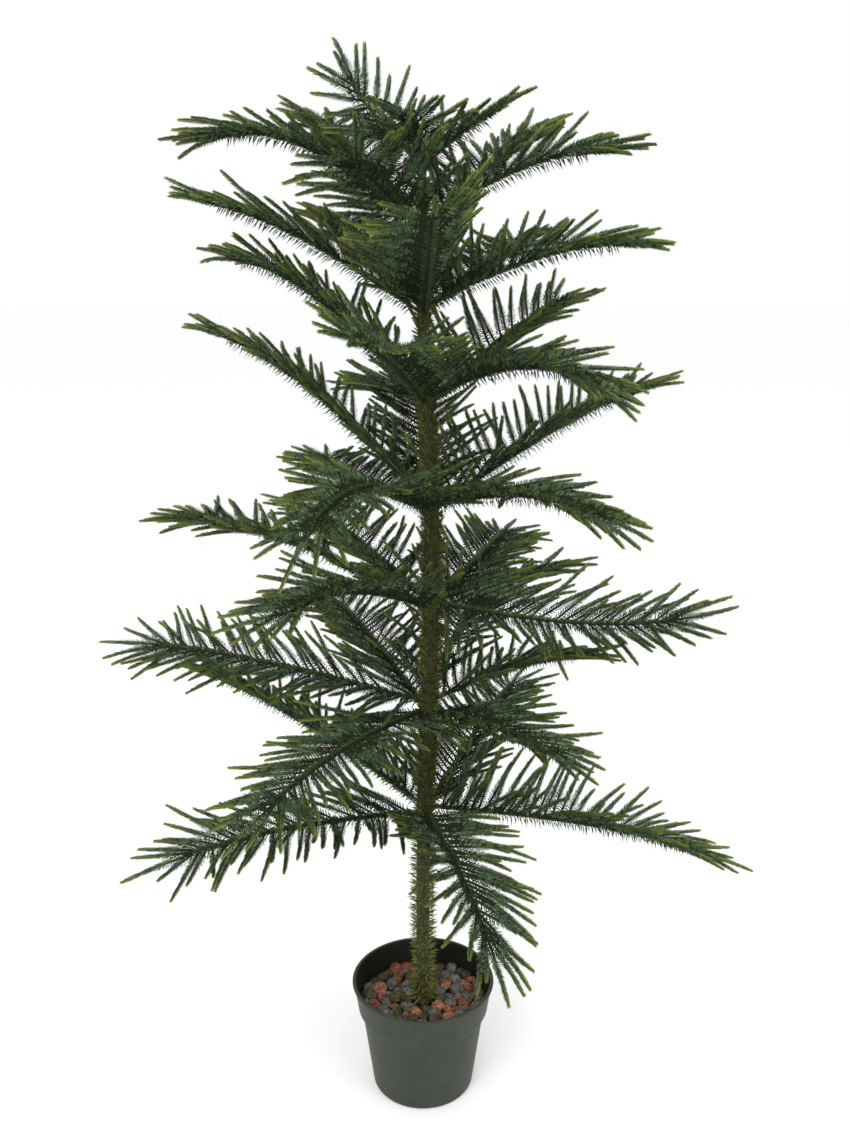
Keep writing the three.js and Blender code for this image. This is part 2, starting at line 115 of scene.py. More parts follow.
WHORLS = (
    Whorl(0.382, (
        Shape(12, 0.370, 9, 0.18, 20, -20, 68, -20, 0.6),
        Shape(87, 0.400, -4, 0.12, 52, -5, 78, 0, 0.6),
        Shape(156, 0.385, 13, 0.06, 25),
        Shape(239, 0.400, 23, 0.15, 38, 24),
        Shape(303, 0.375, 11, 0.13, 18, -12, 60, -12),
    )),
    Whorl(0.517, (
        Shape(42, 0.252, 6, 0.08, 20, -8, 46, 0, 0.8),
        Shape(118, 0.265, 14, 0.2, 25, -10),
        Shape(205, 0.360, 14, 0.1, 25),
        Shape(257, 0.425, 11, 0.09, 24, -20, 60, -20),
        Shape(327, 0.355, 5, 0.17, 10, 0, 60, -14),
        Shape(165, 0.340, 16, 0.1, 25),
    )),
    Whorl(0.642, (
        Shape(326, 0.302, 24, 0.33, 25, 10, 62, 0, 0.85),
        Shape(74, 0.342, -6, -0.17, 17, 22, 60, 15),
        Shape(160, 0.370, 6, 0.02, 30, 10),
        Shape(214, 0.360, 16, 0.1, 25),
        Shape(252, 0.375, 24, 0.23, 22),
        Shape(130, 0.235, 3, 0, 25, 0, 50),
    )),
    Whorl(0.757, (
        Shape(336, 0.330, 24, 0.47, 14, 0, 62, 0, 0.8),
        Shape(38, 0.310, 16, 0.26, 14, -4, 62, 0, 0.5),
        Shape(118, 0.350, 28, 0.14, 46, 0, 75, 0, 0.7),
        Shape(245, 0.332, 41, 0.29, 24, 12, 60, 0, 0.5),
        Shape(210, 0.355, 5, 0, 20),
        Shape(185, 0.300, 28, 0.02, 25),
    )),
    Whorl(0.879, (
        Shape(346, 0.280, 24, 0.16, 42, -14),
        Shape(50, 0.262, 22, 0.42, 24, 0, 62, 0, 0.45),
        Shape(136, 0.285, 28, 0.1, 45, 14, 72, 0, 0.7),
        Shape(195, 0.300, -3, 0, 32),
        Shape(244, 0.298, 42, 0.38, 28, 14, 60, 0, 0.5),
    )),
    Whorl(0.977, (
        Shape(2, 0.300, 22, 0.07, 40, 22),
        Shape(82, 0.258, 25, 0.24, 36, 8, 78, 0, 0.45),
        Shape(150, 0.290, 22, 0.1, 30),
        Shape(205, 0.300, 26, 0.1, 30),
        Shape(264, 0.276, 33, 0.2, 24, 4, 62, 0, 0.45),
    )),
    Whorl(1.066, (
        Shape(336, 0.196, 20, 0.06, 30, 25, 74),
        Shape(80, 0.215, 29, 0.26, 37, 14, 80, 0, 0.75),
        Shape(134, 0.203, 36, 0.1, 25, 0, 70),
        Shape(218, 0.228, 35, 0.1, 25),
        Shape(268, 0.258, 38, 0.5, 14, -4, 62, 0, 0.5),
    )),
)

# Shoots that grow together from the trunk's top
CROWN = (
    Shape(275, 0.090, 40, -0.35, 0, -75, 59, 21),
    Shape(105, 0.085, 38, 0.1, 25),
    Shape(350, 0.075, 35, 0.1, 20),
    Shape(195, 0.085, 30, 0.1, 20),
)


# Properties
def number_prop(name, description, default, **limits):
    """A number, with its limits and its unit if it has one."""
    return FloatProperty(name=name, description=description, default=default, **limits)


def length_prop(name, description, default):
    """A size in metres."""
    return number_prop(name, description, default, min=0, unit="LENGTH", precision=4)


def angle_prop(name, description, degrees):
    """An angle that is given in degrees."""
    return number_prop(name, description, math.radians(degrees), subtype="ANGLE")


def part_prop(name, description, default):
    """A part of something, from 0 to 1."""
    return number_prop(name, description, default, min=0, max=1, subtype="FACTOR")


def power_prop(name, description, default):
    """The power of a light in watts."""
    return number_prop(name, description, default, min=0, unit="POWER")


def count_prop(name, description, default, least):
    """A number of things."""
    return IntProperty(name=name, description=description, default=default, min=least)


def colour_prop(name, description, default):
    """A base colour."""
    return FloatVectorProperty(
        name=name, description=description, default=default, size=3, min=0, max=1, subtype="COLOR"
    )


class PotSettings(PropertyGroup):
    """Sizes and colour of the nursery pot."""

    height: length_prop("Height", "From the underside to the lip", POT_HIGH.z - POT_LOW.z)
    lip_radius: length_prop("Lip radius", "Outer radius of the lip", (POT_HIGH.x - POT_LOW.x) / 2)
    lip_height: length_prop("Lip height", "Height of the lip's band", 0.004)
    foot_radius: length_prop("Foot radius", "Radius of the flat underside", 0.0615)
    foot_round: length_prop("Foot rounding", "Height of the rounded foot edge", 0.003)
    body_foot_radius: length_prop("Body foot radius", "Radius just above the foot", 0.064)
    body_top_radius: length_prop("Body top radius", "Radius just under the step", 0.0775)
    body_top: length_prop("Body top", "Height of the step's lower edge", 0.102)
    collar_radius: length_prop("Collar radius", "Radius just above the step", 0.0825)
    collar_bottom: length_prop("Collar bottom", "Height of the step's upper edge", 0.108)
    collar_top_radius: length_prop("Collar top radius", "Radius just under the lip", 0.0875)
    wall: length_prop("Wall", "Thickness of the wall", 0.0022)
    edge: length_prop("Edge rounding", "Radius of the rounded edges", 0.0016)
    segments: count_prop("Segments", "Faces round the pot", 96, 12)
    colour: colour_prop("Colour", "Dark green plastic", (0.040, 0.048, 0.035))
    # The inside colour is painted shade: the same plastic as the outside, darker where the inner wall lies
    # in shade.
    inside: colour_prop("Inside", "Shaded plastic inside", (0.011, 0.013, 0.009))


class GravelSettings(PropertyGroup):
    """Sizes and colours of the gravel."""

    level: length_prop("Level", "Height of the gravel bed", 0.114)
    stones: count_prop("Stones", "Stones in the top layer", 92, 1)
    least_radius: length_prop("Least radius", "Radius of the smallest stones", 0.0062)
    most_radius: length_prop("Most radius", "Radius of the largest stones", 0.0112)
    flat: part_prop("Flatness", "Height of a stone as a part of its width", 0.74)
    cuts: count_prop("Cuts", "Broken faces on a stone", 7, 4)
    grey: colour_prop("Grey", "Grey stones", (0.165, 0.158, 0.128))
    slate: colour_prop("Slate", "Blue-grey stones", (0.200, 0.212, 0.195))
    olive: colour_prop("Olive", "Olive stones", (0.105, 0.090, 0.050))
    sand: colour_prop("Sand", "Beige stones", (0.225, 0.180, 0.118))
    brick: colour_prop("Brick", "Red-brown stones", (0.310, 0.105, 0.066))
    rust: colour_prop("Rust", "Orange-brown stones", (0.400, 0.180, 0.100))
    # The bed colour is near black: painted shade in the gaps between the stones, over the real bed.
    bed: colour_prop("Bed", "Fine grit between the stones", (0.014, 0.012, 0.008))


class TrunkSettings(PropertyGroup):
    """Sizes and colours of the trunk and of the needles on it."""

    top: length_prop("Top", "Height of the trunk's top", TRUNK_HIGH.z)
    foot: length_prop("Foot", "Height of the flat foot in the gravel", TRUNK_LOW.z)
    foot_radius: length_prop("Foot radius", "Radius at the gravel", 0.013)
    top_radius: length_prop("Top radius", "Radius at the top", 0.005)
    taper_power: number_prop("Taper", "How late the trunk tapers", 4, min=1)
    flare: length_prop("Flare", "Extra radius at the gravel", 0.002)
    flare_height: length_prop("Flare height", "Height of the flare", 0.040)
    core: part_prop("Core", "Bark radius as a part of the radius with flat needles", 0.88)
    bare_core: part_prop("Bare core", "The same part where needles stand out", 0.62)
    relief: length_prop("Relief", "Height of the needle cushions on the bark", 0.0009)
    sides: count_prop("Sides", "Faces round the trunk", 56, 8)
    step: length_prop("Step", "Height of a face on the trunk", 0.0032)
    ring_pitch: length_prop("Needle rings", "Distance between rings of needles", 0.0031)
    row_pitch: length_prop("Needle rows", "Distance between needles round the trunk", 0.0036)
    bare_top: length_prop("Bare top", "Height under which needles stand out most", 0.375)
    upper_stand: part_prop("Upper standing", "How far the needles above that stand out", 0.6)
    stand_length: length_prop("Standing needles", "Length of needles that stand out", 0.0122)
    flat_length: length_prop("Flat needles", "Length of needles that lie flat", 0.0062)
    stand_lean: angle_prop("Standing lean", "Angle of standing needles from the trunk", 68)
    flat_lean: angle_prop("Flat lean", "Angle of flat needles from the trunk", 24)
    stand_turn: angle_prop("Standing turn", "Turn of a standing needle about its length", 80)
    flat_turn: angle_prop("Flat turn", "Turn of a flat needle about its length", 30)
    flat_width: length_prop("Flat width", "Width of a flat needle", 0.0020)
    stand_width: length_prop("Standing width", "Width of a standing needle", 0.0017)
    bark: colour_prop("Bark", "Brown-green bark", (0.070, 0.078, 0.029))
    bark_dark: colour_prop("Dark bark", "Bark in the hollows", (0.030, 0.026, 0.012))
    # How these three mix with height is painted light and shade: more olive and straw low down, more dark
    # moss higher up under the limbs.
    olive: colour_prop("Olive needles", "Most of the trunk's needles", (0.145, 0.165, 0.036))
    moss: colour_prop("Moss needles", "Greener needles", (0.056, 0.082, 0.022))
    straw: colour_prop("Straw needles", "Browner needles", (0.190, 0.175, 0.058))


class LimbSettings(PropertyGroup):
    """Sizes and colours of the limbs and of the needles on them."""

    radius: length_prop("Radius", "Radius at the trunk", 0.004)
    tip_radius: length_prop("Tip radius", "Radius at the limb's end", 0.0022)
    rib_end: part_prop("Rib end", "Part of the line where the last twig takes over", 0.8)
    stagger: length_prop("Stagger", "Height by which neighbours leave the trunk apart", 0.004)
    core: part_prop("Core", "Bark radius as a part of the radius with needles", 0.5)
    relief: length_prop("Relief", "Height of the needle cushions on the bark", 0.0004)
    sides: count_prop("Sides", "Faces round a limb", 10, 5)
    step: length_prop("Step", "Length of a face along a limb", 0.0036)
    ring_pitch: length_prop("Needle rings", "Distance between rings of needles", 0.0025)
    rows: count_prop("Needle rows", "Needles in a ring, one of them a hair", 8, 3)
    cover: angle_prop("Cover", "Angle from the top down to the lowest green needles", 138)
    hair_sway: angle_prop("Hair sway", "Angle between the hairs of neighbouring rings", 34)
    hair_length: length_prop("Hair", "Length of the hair-like needles underneath", 0.0125)
    hair_width: length_prop("Hair width", "Width of a hair", 0.0015)
    hair_lean: angle_prop("Hair lean", "Angle of the hairs from the limb", 72)
    needle_length: length_prop("Needle", "Length of the needles on top", 0.0086)
    needle_width: length_prop("Needle width", "Width of a needle", 0.0020)
    needle_lean: angle_prop("Needle lean", "Angle of the needles from the limb", 40)
    hair_turn: angle_prop("Hair turn", "Turn of a hair about its length", 85)
    needle_turn: angle_prop("Needle turn", "Turn of a needle about its length", 32)
    bark: colour_prop("Bark", "Dark green-brown bark", (0.031, 0.042, 0.021))
    bark_dark: colour_prop("Dark bark", "Bark in the hollows", (0.016, 0.015, 0.008))
    hair: colour_prop("Hair", "Dark blue-green hairs", (0.031, 0.041, 0.026))


class TwigSettings(PropertyGroup):
    """Sizes of the twigs in two rows along a limb."""

    near_length: length_prop("Inner length", "Length of the twigs near the trunk", 0.092)
    far_length: length_prop("Outer length", "Length of the twigs near the limb's end", 0.070)
    length_spread: part_prop("Length spread", "Part by which lengths differ", 0.18)
    room: length_prop("Inner room", "Radius kept clear round an inner twig", 0.0012)
    far_room: length_prop("Outer room", "Radius kept clear round an outer twig", 0.0010)
    gap: length_prop("Gap", "Least gap between twigs", 0.0003)
    spacing: length_prop("Spacing", "Distance between twigs of a row in the lowest whorl", 0.009)
    high_spacing: length_prop("High spacing", "Distance between twigs of a row in the crown", 0.0115)
    first_reach: length_prop("First twig", "Reach of the first twig on a limb", 0.016)
    forward_far: angle_prop("Outer forward angle", "Angle between a limb and its outer twigs", 48)
    fan_first: angle_prop("Fan first angle", "Forward angle of the first twigs of the fan", 64)
    fan_step: angle_prop("Fan step", "How much the forward angle closes in the fan", 13)
    fan_twigs: count_prop("Fan twigs", "Pairs of twigs in the fan", 4, 0)
    fan_spacing: length_prop("Fan spacing", "Distance between twigs of the fan", 0.0075)
    fan_length: part_prop("Fan length", "Length of fan twigs as a part of the outer length", 0.92)
    far_lift: part_prop("Outer lift", "Lift of the outer twigs as a part of the inner ones", 0.35)
    turn: angle_prop("Turn", "Angle by which headings differ", 10)
    droop: part_prop("Droop", "Part of a twig's length that its tip droops", 0.06)
    curl: part_prop("Curl", "Part of a twig's length that its tip bends along the limb", 0.04)
    bend: part_prop("Bend", "Part of a twig's length by which its tip differs", 0.11)
    stem_radius: length_prop("Stem radius", "Radius of a twig's stem at its root", 0.0015)
    stem_tip_radius: length_prop("Stem tip radius", "Radius of a twig's stem near its tip", 0.0012)
    crown_first_reach: length_prop("Crown first twig", "Reach of the first twig on a crown shoot", 0.018)
    crown_part: part_prop("Crown twigs", "Length of the crown's twigs as a part of the others", 0.8)
    crown_root: length_prop("Crown root", "Height of the crown's shoots over the trunk's top", 0.0087)
    # The dark stem colour at a twig's root is painted shade, as on the needles there.
    stem: colour_prop("Stem", "Dark green stems", (0.020, 0.030, 0.014))
    green_stem: colour_prop("Green stem", "Stems towards their tips", (0.050, 0.083, 0.037))


class NeedleSettings(PropertyGroup):
    """Sizes and colours of the needles on the twigs."""

    density: number_prop("Density", "Needles on each metre of a twig", 2400, min=1)
    rows: count_prop("Rows", "Rows of needles round a twig", 5, 3)
    crowding: part_prop("Crowding", "Under 1, needles stand closer towards the tip", 0.66)
    near_length: length_prop("Inner length", "Length of needles near a twig's root", 0.0068)
    far_length: length_prop("Outer length", "Length of needles near a twig's tip", 0.0052)
    length_spread: part_prop("Length spread", "Part by which lengths differ", 0.14)
    near_lean: angle_prop("Inner lean", "Angle of needles from the twig near its root", 54)
    far_lean: angle_prop("Outer lean", "Angle of needles from the twig near its tip", 27)
    lean_spread: angle_prop("Lean spread", "Angle by which leans differ", 7)
    near_width: length_prop("Inner width", "Width of a needle near a twig's root", 0.0016)
    far_width: length_prop("Outer width", "Width of a needle near a twig's tip", 0.0017)
    near_turn: angle_prop("Inner turn", "Turn of a needle about its length near a twig's root", 75)
    far_turn: angle_prop("Outer turn", "Turn of a needle about its length near a twig's tip", 30)
    # The darkest needles near a twig's root are painted shade, where the inside of the tree is in shade.
    shade_end: part_prop("Shade end", "Part of a twig with the darkest needles", 0.25)
    body_end: part_prop("Body end", "Part of a twig near the trunk where its tip colour begins", 0.85)
    outer_body_end: part_prop("Outer body end", "The same part far out on a limb", 0.78)
    zone_spread: part_prop("Zone spread", "Part by which these ends differ", 0.07)
    zone_blur: part_prop("Zone blur", "Part of a twig where two colours mingle", 0.10)
    blue_share: part_prop("Blue share", "Part of the sprays near the trunk that are blue-green", 0.80)
    outer_blue_share: part_prop("Outer blue share", "The same part far out on a limb", 0.42)
    inner_reach: length_prop("Inner reach", "Distance from the trunk of the last cool sprays", 0.10)
    outer_reach: length_prop("Outer reach", "Distance from the trunk of the first warm sprays", 0.30)
    # Painted shade and painted highlights: parts of a spray's needles that are dealt the shade or the pale
    # colour at random.
    painted_shade_share: part_prop("Dark share", "Part of a spray's needles that are darker", 0.22)
    painted_highlight_share: part_prop("Pale share", "Part of a spray's needles that are paler", 0.2)
    brown_share: part_prop("Brown share", "Part of the top sprays with brown tips", 0.3)
    # Shade is the painted shade colour, at a twig's root and on single darker needles.
    shade: colour_prop("Shade", "Darkest green", (0.019, 0.026, 0.011))
    blue: colour_prop("Blue-green", "Cool dark green", (0.068, 0.120, 0.059))
    leaf: colour_prop("Leaf green", "Warm dark green", (0.098, 0.147, 0.042))
    fresh: colour_prop("Fresh green", "Yellow-green tips", (0.165, 0.205, 0.048))
    brown: colour_prop("Brown", "Brown tips", (0.125, 0.096, 0.040))
    # Pale green is a painted highlight on single needles.
    pale: colour_prop("Pale green", "Silvery needles among the others", (0.155, 0.196, 0.112))


class StageSettings(PropertyGroup):
    """The floor, the lights and the camera."""

    floor_size: length_prop("Floor", "Side of the floor", 80)
    floor: colour_prop("Floor colour", "Pale floor", (0.99, 0.99, 0.99))
    sky: colour_prop("Sky colour", "Even light from all sides", (1.0, 1.0, 1.0))
    sky_strength: number_prop("Sky strength", "Strength of the even light", 1.0, min=0)
    key_power: power_prop("Key light", "Power of the front light", 52)
    fill_power: power_prop("Fill light", "Power of the side light", 18)
    lens: number_prop("Lens", "Focal length in millimetres", 35, min=1)
    camera_aside: length_prop("Camera aside", "Camera's shift to the right", 0.0025)
    camera_distance: length_prop("Camera distance", "Camera's distance in front of the trunk", 1.232)
    camera_height: length_prop("Camera height", "Camera's height over the floor", 1.009)
    camera_pitch: angle_prop("Camera pitch", "Angle by which the camera looks down", 14.6)


class PineSettings(PropertyGroup):
    """All settings of the tree, its pot and the stage."""

    pot: PointerProperty(type=PotSettings)
    gravel: PointerProperty(type=GravelSettings)
    trunk: PointerProperty(type=TrunkSettings)
    limb: PointerProperty(type=LimbSettings)
    twig: PointerProperty(type=TwigSettings)
    needle: PointerProperty(type=NeedleSettings)
    stage: PointerProperty(type=StageSettings)


# Numbers and directions
def mix(start, end, part):
    """The value a part of the way from start to end."""
    return start + (end - start) * part


def smoothstep(low, high, value):
    """0 under low, 1 over high, and a smooth step between them."""
    part = np.clip((value - low) / (high - low), 0, 1)
    return part * part * (3 - 2 * part)


# Factors of the wave that seeded numbers are read from
SEED_FACTOR = 12.9898
INDEX_FACTOR = 78.233
WAVE_FACTOR = 43758.5453


def chance(seed, index):
    """A number from 0 to 1 that depends only on a seed and the number of the draw."""
    wave = np.sin(seed * SEED_FACTOR + index * INDEX_FACTOR) * WAVE_FACTOR
    return wave - np.floor(wave)


def spread(seed, index, size):
    """A number from -size to size that depends only on a seed and the number of the draw."""
    return (2 * chance(seed, index) - 1) * size


def unit(vectors):
    """Vectors brought to length 1."""
    return vectors / np.linalg.norm(vectors, axis=-1, keepdims=True)


def across(ways, upright):
    """Two directions square to each way and to each other, the first as near upright as can be."""
    first = unit(upright - ways * np.sum(ways * upright, axis=-1, keepdims=True))
    return first, np.cross(ways, first)


# Growth rule
class TrunkBow(NamedTuple):
    """A smooth shift of the trunk's line to one side between two heights."""

    low: float
    high: float
    aside: float


TRUNK_BOWS = (TrunkBow(0.250, 0.720, 0.010), TrunkBow(0.720, 1.010, -0.010))

# Parts of its length that a twig with no room is cut to, and places along it that keep their room
TWIG_CUTS = (1.0, 0.8, 0.6, 0.45)
TWIG_MARKS = np.array((0.08, 0.3, 0.65, 1.0))

# Stretches of the trunk and of a limb that keep their room
TRUNK_ROOM_STEPS = 22
LIMB_ROOM_STEPS = 8

# Draws that the seeded rule has along a limb, and where those of its right row start
PICKS_PER_LIMB = 500
RIGHT_PICK = 1000

# Seeds: how many a level has for its limbs, how many parts a limb's own has for its twigs, the part
# that its last twig takes, and the first one of the crown
LEVEL_SEEDS = 10
TWIG_SEEDS = 100
LAST_TWIG_SEED = 0.995
CROWN_SEED = 90

# The trunk's number among the owners of room, which for limbs and twigs is the limb's seed
TRUNK_OWNER = -1


def trunk_centre(height):
    """The trunk's centre at one or several heights."""
    height = np.asarray(height, float)
    aside = sum(bow.aside * smoothstep(bow.low, bow.high, height) for bow in TRUNK_BOWS)
    return np.stack([aside, np.zeros_like(height), height], axis=-1)


def trunk_radius(height, trunk, level):
    """The trunk's radius, flat needles included, at one or several heights."""
    share = np.maximum(0, (height - level) / (trunk.top - level))
    flare = trunk.flare * np.clip(1 - (height - level) / trunk.flare_height, 0, 1) ** 2
    return mix(trunk.foot_radius, trunk.top_radius, share**trunk.taper_power) + flare


class Limb:
    """A limb's line from the trunk's axis to the tip of its last twig."""

    SAG_POWER = 3
    LENGTH_STEPS = 200

    def __init__(self, level, seed, root, shape, first, twig_part=1.0):
        self.level = level
        self.in_crown = level == len(WHORLS)
        self.seed = seed
        self.root = root
        self.shape = shape
        self.first = first
        self.twig_part = twig_part
        turn = math.radians(shape.bearing)
        self.outward = np.array((math.sin(turn), -math.cos(turn), 0.0))
        self.climb = math.tan(math.radians(shape.rise))

    def points(self, shares):
        """Places on the line at shares of its reach."""
        shares = np.asarray(shares, float)[..., None]
        rise = self.climb * shares - self.shape.sag * shares**self.SAG_POWER
        return self.root + self.shape.reach * (self.outward * shares + UP * rise)

    def frames(self, shares):
        """The directions along the line, to its right seen from the trunk, and up from it."""
        shares = np.asarray(shares, float)[..., None]
        slope = self.climb - self.SAG_POWER * self.shape.sag * shares ** (self.SAG_POWER - 1)
        along = unit(self.outward + UP * slope)
        aside = unit(np.cross(along, UP))
        return along, aside, np.cross(aside, along)

    def length(self):
        """Length of the whole line."""
        places = self.points(np.linspace(0, 1, self.LENGTH_STEPS + 1))
        return np.linalg.norm(np.diff(places, axis=0), axis=1).sum()


class Step(NamedTuple):
    """A stretch of a limb with a twig on each side: its two shares of the line, the twigs' forward
    angle, how far along the row they are, and the part of their length that they have."""

    start: float
    end: float
    forward: float
    part: float
    size: float


def twig_steps(limb, pine):
    """The stretches of a limb that carry twigs, from the trunk outwards."""
    twig = pine.twig
    whole = limb.length()
    fan_start = pine.limb.rib_end - twig.fan_twigs * twig.fan_spacing / whole
    spacing = mix(twig.spacing, twig.high_spacing, limb.level / len(WHORLS))
    count = max(1, math.floor((fan_start - limb.first) * whole / spacing + 0.5))
    forward = math.radians(limb.shape.forward)
    openness = limb.shape.openness
    rules = []
    for i in range(count):
        part = (i + 0.5) / count
        start = mix(limb.first, fan_start, i / count)
        rules.append((start, mix(forward, twig.forward_far * openness, part**2), part, 1.0))
    for i in range(twig.fan_twigs):
        start = fan_start + i * twig.fan_spacing / whole
        angle = (twig.fan_first - i * twig.fan_step) * openness
        rules.append((start, angle, 1.0, twig.fan_length))
    ends = [rule[0] for rule in rules[1:]] + [pine.limb.rib_end]
    return [Step(rule[0], end, *rule[1:]) for rule, end in zip(rules, ends)]


def limb_radius(limb_settings, share):
    """A limb's radius, needles included, at a share of its line."""
    return mix(limb_settings.radius, limb_settings.tip_radius, share)


def twig_root(limb, step, side, limb_settings):
    """Where the twig on one side of a limb starts at a step: the middle of a three-cornered face on
    that side of a square bar."""
    places = limb.points([step.start, step.end])
    _, aside, up = limb.frames([step.start, step.end])
    half = limb_radius(limb_settings, np.array((step.start, step.end)))[:, None] * math.sqrt(0.5)
    front = places[1] + side * aside[1] * half[1]
    back_top = places[0] + side * aside[0] * half[0] + up[0] * half[0]
    return (2 * front + back_top) / 3


def twig_plan(limb, step, side, twig):
    """The heading, bend, length and room of the twig on one side of a limb, by the seeded rule."""
    share = (step.start + step.end) / 2
    pick = math.floor(PICKS_PER_LIMB * share + 0.5) + (RIGHT_PICK if side > 0 else 0)
    skew = side * math.radians(limb.shape.skew) * (1 - step.part)
    lean = step.forward + skew + spread(limb.seed, pick, twig.turn)
    tilt = limb.shape.lift * mix(1, twig.far_lift, step.part**2) - side * limb.shape.roll
    lift = math.radians(tilt) + spread(limb.seed, pick + 1, twig.turn)
    along, aside, up = limb.frames(share)
    sideways = side * aside * math.cos(lift) + up * math.sin(lift)
    heading = along * math.cos(lean) + sideways * math.sin(lean)
    bend = along * twig.curl + up * spread(limb.seed, pick + 3, twig.bend) - UP * twig.droop
    bend = bend + side * aside * spread(limb.seed, pick + 4, twig.bend)
    whole = step.size * mix(twig.near_length, twig.far_length, step.part) * limb.twig_part
    length = whole * (1 + spread(limb.seed, pick + 2, twig.length_spread))
    return heading, bend, length, mix(twig.room, twig.far_room, step.part)


def twig_curve(root, heading, bend, length):
    """The three points of a twig's curve."""
    return np.array((root, root + heading * length / 2, root + (heading + bend) * length))


def curve_points(curves, shares):
    """Places on curves of three points at shares of their lengths."""
    shares = np.asarray(shares, float)[..., None]
    start, middle, end = curves[..., 0, :], curves[..., 1, :], curves[..., 2, :]
    return (1 - shares) ** 2 * start + 2 * shares * (1 - shares) * middle + shares**2 * end


def curve_ways(curves, shares):
    """Directions of curves of three points at shares of their lengths."""
    shares = np.asarray(shares, float)[..., None]
    start, middle, end = curves[..., 0, :], curves[..., 1, :], curves[..., 2, :]
    return unit((1 - shares) * (middle - start) + shares * (end - middle))


class Room:
    """Room taken by the trunk, limbs and twigs, as round-ended bars with their owners."""

    # The most bars, and how near to parallel two of them count as parallel
    MOST_BARS = 8000
    PARALLEL = 1e-21

    def __init__(self, gap):
        self.gap = gap
        self.count = 0
        self.owners = np.zeros(self.MOST_BARS, int)
        self.are_twigs = np.zeros(self.MOST_BARS, bool)
        self.starts = np.zeros((self.MOST_BARS, 3))
        self.ends = np.zeros((self.MOST_BARS, 3))
        self.radii = np.zeros(self.MOST_BARS)

    def claim(self, owner, points, radius, is_twig=False):
        """Takes the room along a row of points."""
        taken = slice(self.count, self.count + len(points) - 1)
        self.owners[taken] = owner
        self.are_twigs[taken] = is_twig
        self.starts[taken] = points[:-1]
        self.ends[taken] = points[1:]
        self.radii[taken] = radius
        self.count += len(points) - 1

    def distances(self, start, end, picked):
        """Least distances between one straight stretch and the bars that are picked."""
        along = end - start
        ways = self.ends[picked] - self.starts[picked]
        between = start - self.starts[picked]
        along2 = along @ along
        ways2 = np.sum(ways * ways, axis=1)
        both = ways @ along
        off_along = between @ along
        off_ways = np.sum(ways * between, axis=1)
        flat = along2 * ways2 - both * both
        here = (both * off_ways - ways2 * off_along) / np.maximum(flat, self.PARALLEL)
        here = np.where(flat > self.PARALLEL, np.clip(here, 0, 1), 0)
        there = np.clip((both * here + off_ways) / ways2, 0, 1)
        here = np.clip((both * there - off_along) / along2, 0, 1)
        return np.linalg.norm(between + here[:, None] * along - there[:, None] * ways, axis=1)

    def is_clear(self, owner, points, radius):
        """Whether a twig has room. Near its own limb only the outer parts of twigs keep apart."""
        used = np.arange(self.count)
        own = self.owners[: self.count] == owner
        own_twigs = used[own & self.are_twigs[: self.count]]
        others = used[~own]
        for i in range(1, len(points)):
            picked = others if i == 1 else np.concatenate([others, own_twigs])
            room = radius + self.radii[picked] + self.gap
            if np.any(self.distances(points[i - 1], points[i], picked) < room):
                return False
        return True


class Twigs(NamedTuple):
    """The twigs of one level as arrays: curves of three points, lengths and seeds."""

    curves: np.ndarray
    lengths: np.ndarray
    seeds: np.ndarray


def all_limbs(pine):
    """The limbs of every whorl and the shoots of the crown, by level from the lowest."""
    limbs = []
    for level, whorl in enumerate(WHORLS):
        for order, shape in enumerate(whorl.limbs):
            shift = pine.limb.stagger if order % 2 else -pine.limb.stagger
            root = trunk_centre(whorl.height + shift)
            first = pine.twig.first_reach / shape.reach
            limbs.append(Limb(level, LEVEL_SEEDS * level + order + 1, root, shape, first))
    root = trunk_centre(pine.trunk.top) + UP * pine.twig.crown_root
    for order, shape in enumerate(CROWN):
        first = pine.twig.crown_first_reach / shape.reach
        limbs.append(Limb(len(WHORLS), CROWN_SEED + order, root, shape, first, pine.twig.crown_part))
    return limbs


def last_twig(limb, rib_end):
    """The curve of the twig that carries a limb's line on to its tip."""
    start, middle, end = limb.points([rib_end, (1 + rib_end) / 2, 1])
    return np.array((start, 2 * middle - (start + end) / 2, end))


def grow_twigs(pine, limbs):
    """The twigs of every level. One with no room is shortened, and left out if that isn't enough."""
    room = Room(pine.twig.gap)
    trunk_heights = np.linspace(pine.trunk.foot, pine.trunk.top, TRUNK_ROOM_STEPS + 1)
    room.claim(TRUNK_OWNER, trunk_centre(trunk_heights), pine.trunk.foot_radius)
    for limb in limbs:
        if not limb.in_crown:
            line = limb.points(np.arange(LIMB_ROOM_STEPS) / LIMB_ROOM_STEPS)
            room.claim(limb.seed, line, pine.limb.radius)
    grown = [[] for _ in range(len(WHORLS) + 1)]
    for limb in limbs:
        owner = CROWN_SEED if limb.in_crown else limb.seed
        for number, step in enumerate(twig_steps(limb, pine)):
            for side in (1, -1):
                root = twig_root(limb, step, side, pine.limb)
                heading, bend, length, radius = twig_plan(limb, step, side, pine.twig)
                for cut in TWIG_CUTS:
                    curve = twig_curve(root, heading, bend, length * cut)
                    marks = curve_points(curve[None], TWIG_MARKS)
                    if room.is_clear(owner, marks, radius):
                        room.claim(owner, marks[:2], radius)
                        room.claim(owner, marks[1:], radius, is_twig=True)
                        seed = limb.seed + (2 * number + (side > 0)) / TWIG_SEEDS
                        grown[limb.level].append((curve, seed))
                        break
        grown[limb.level].append((last_twig(limb, pine.limb.rib_end), limb.seed + LAST_TWIG_SEED))
    levels = []
    for rows in grown:
        curves = np.array([row[0] for row in rows])
        middle = curve_points(curves, np.full(len(curves), 0.5))
        inner_halves = np.linalg.norm(middle - curves[:, 0], axis=1)
        outer_halves = np.linalg.norm(curves[:, 2] - middle, axis=1)
        seeds = np.array([row[1] for row in rows])
        levels.append(Twigs(curves, inner_halves + outer_halves, seeds))
    return levels


# Meshes from arrays
WELD_DISTANCE = 1e-6


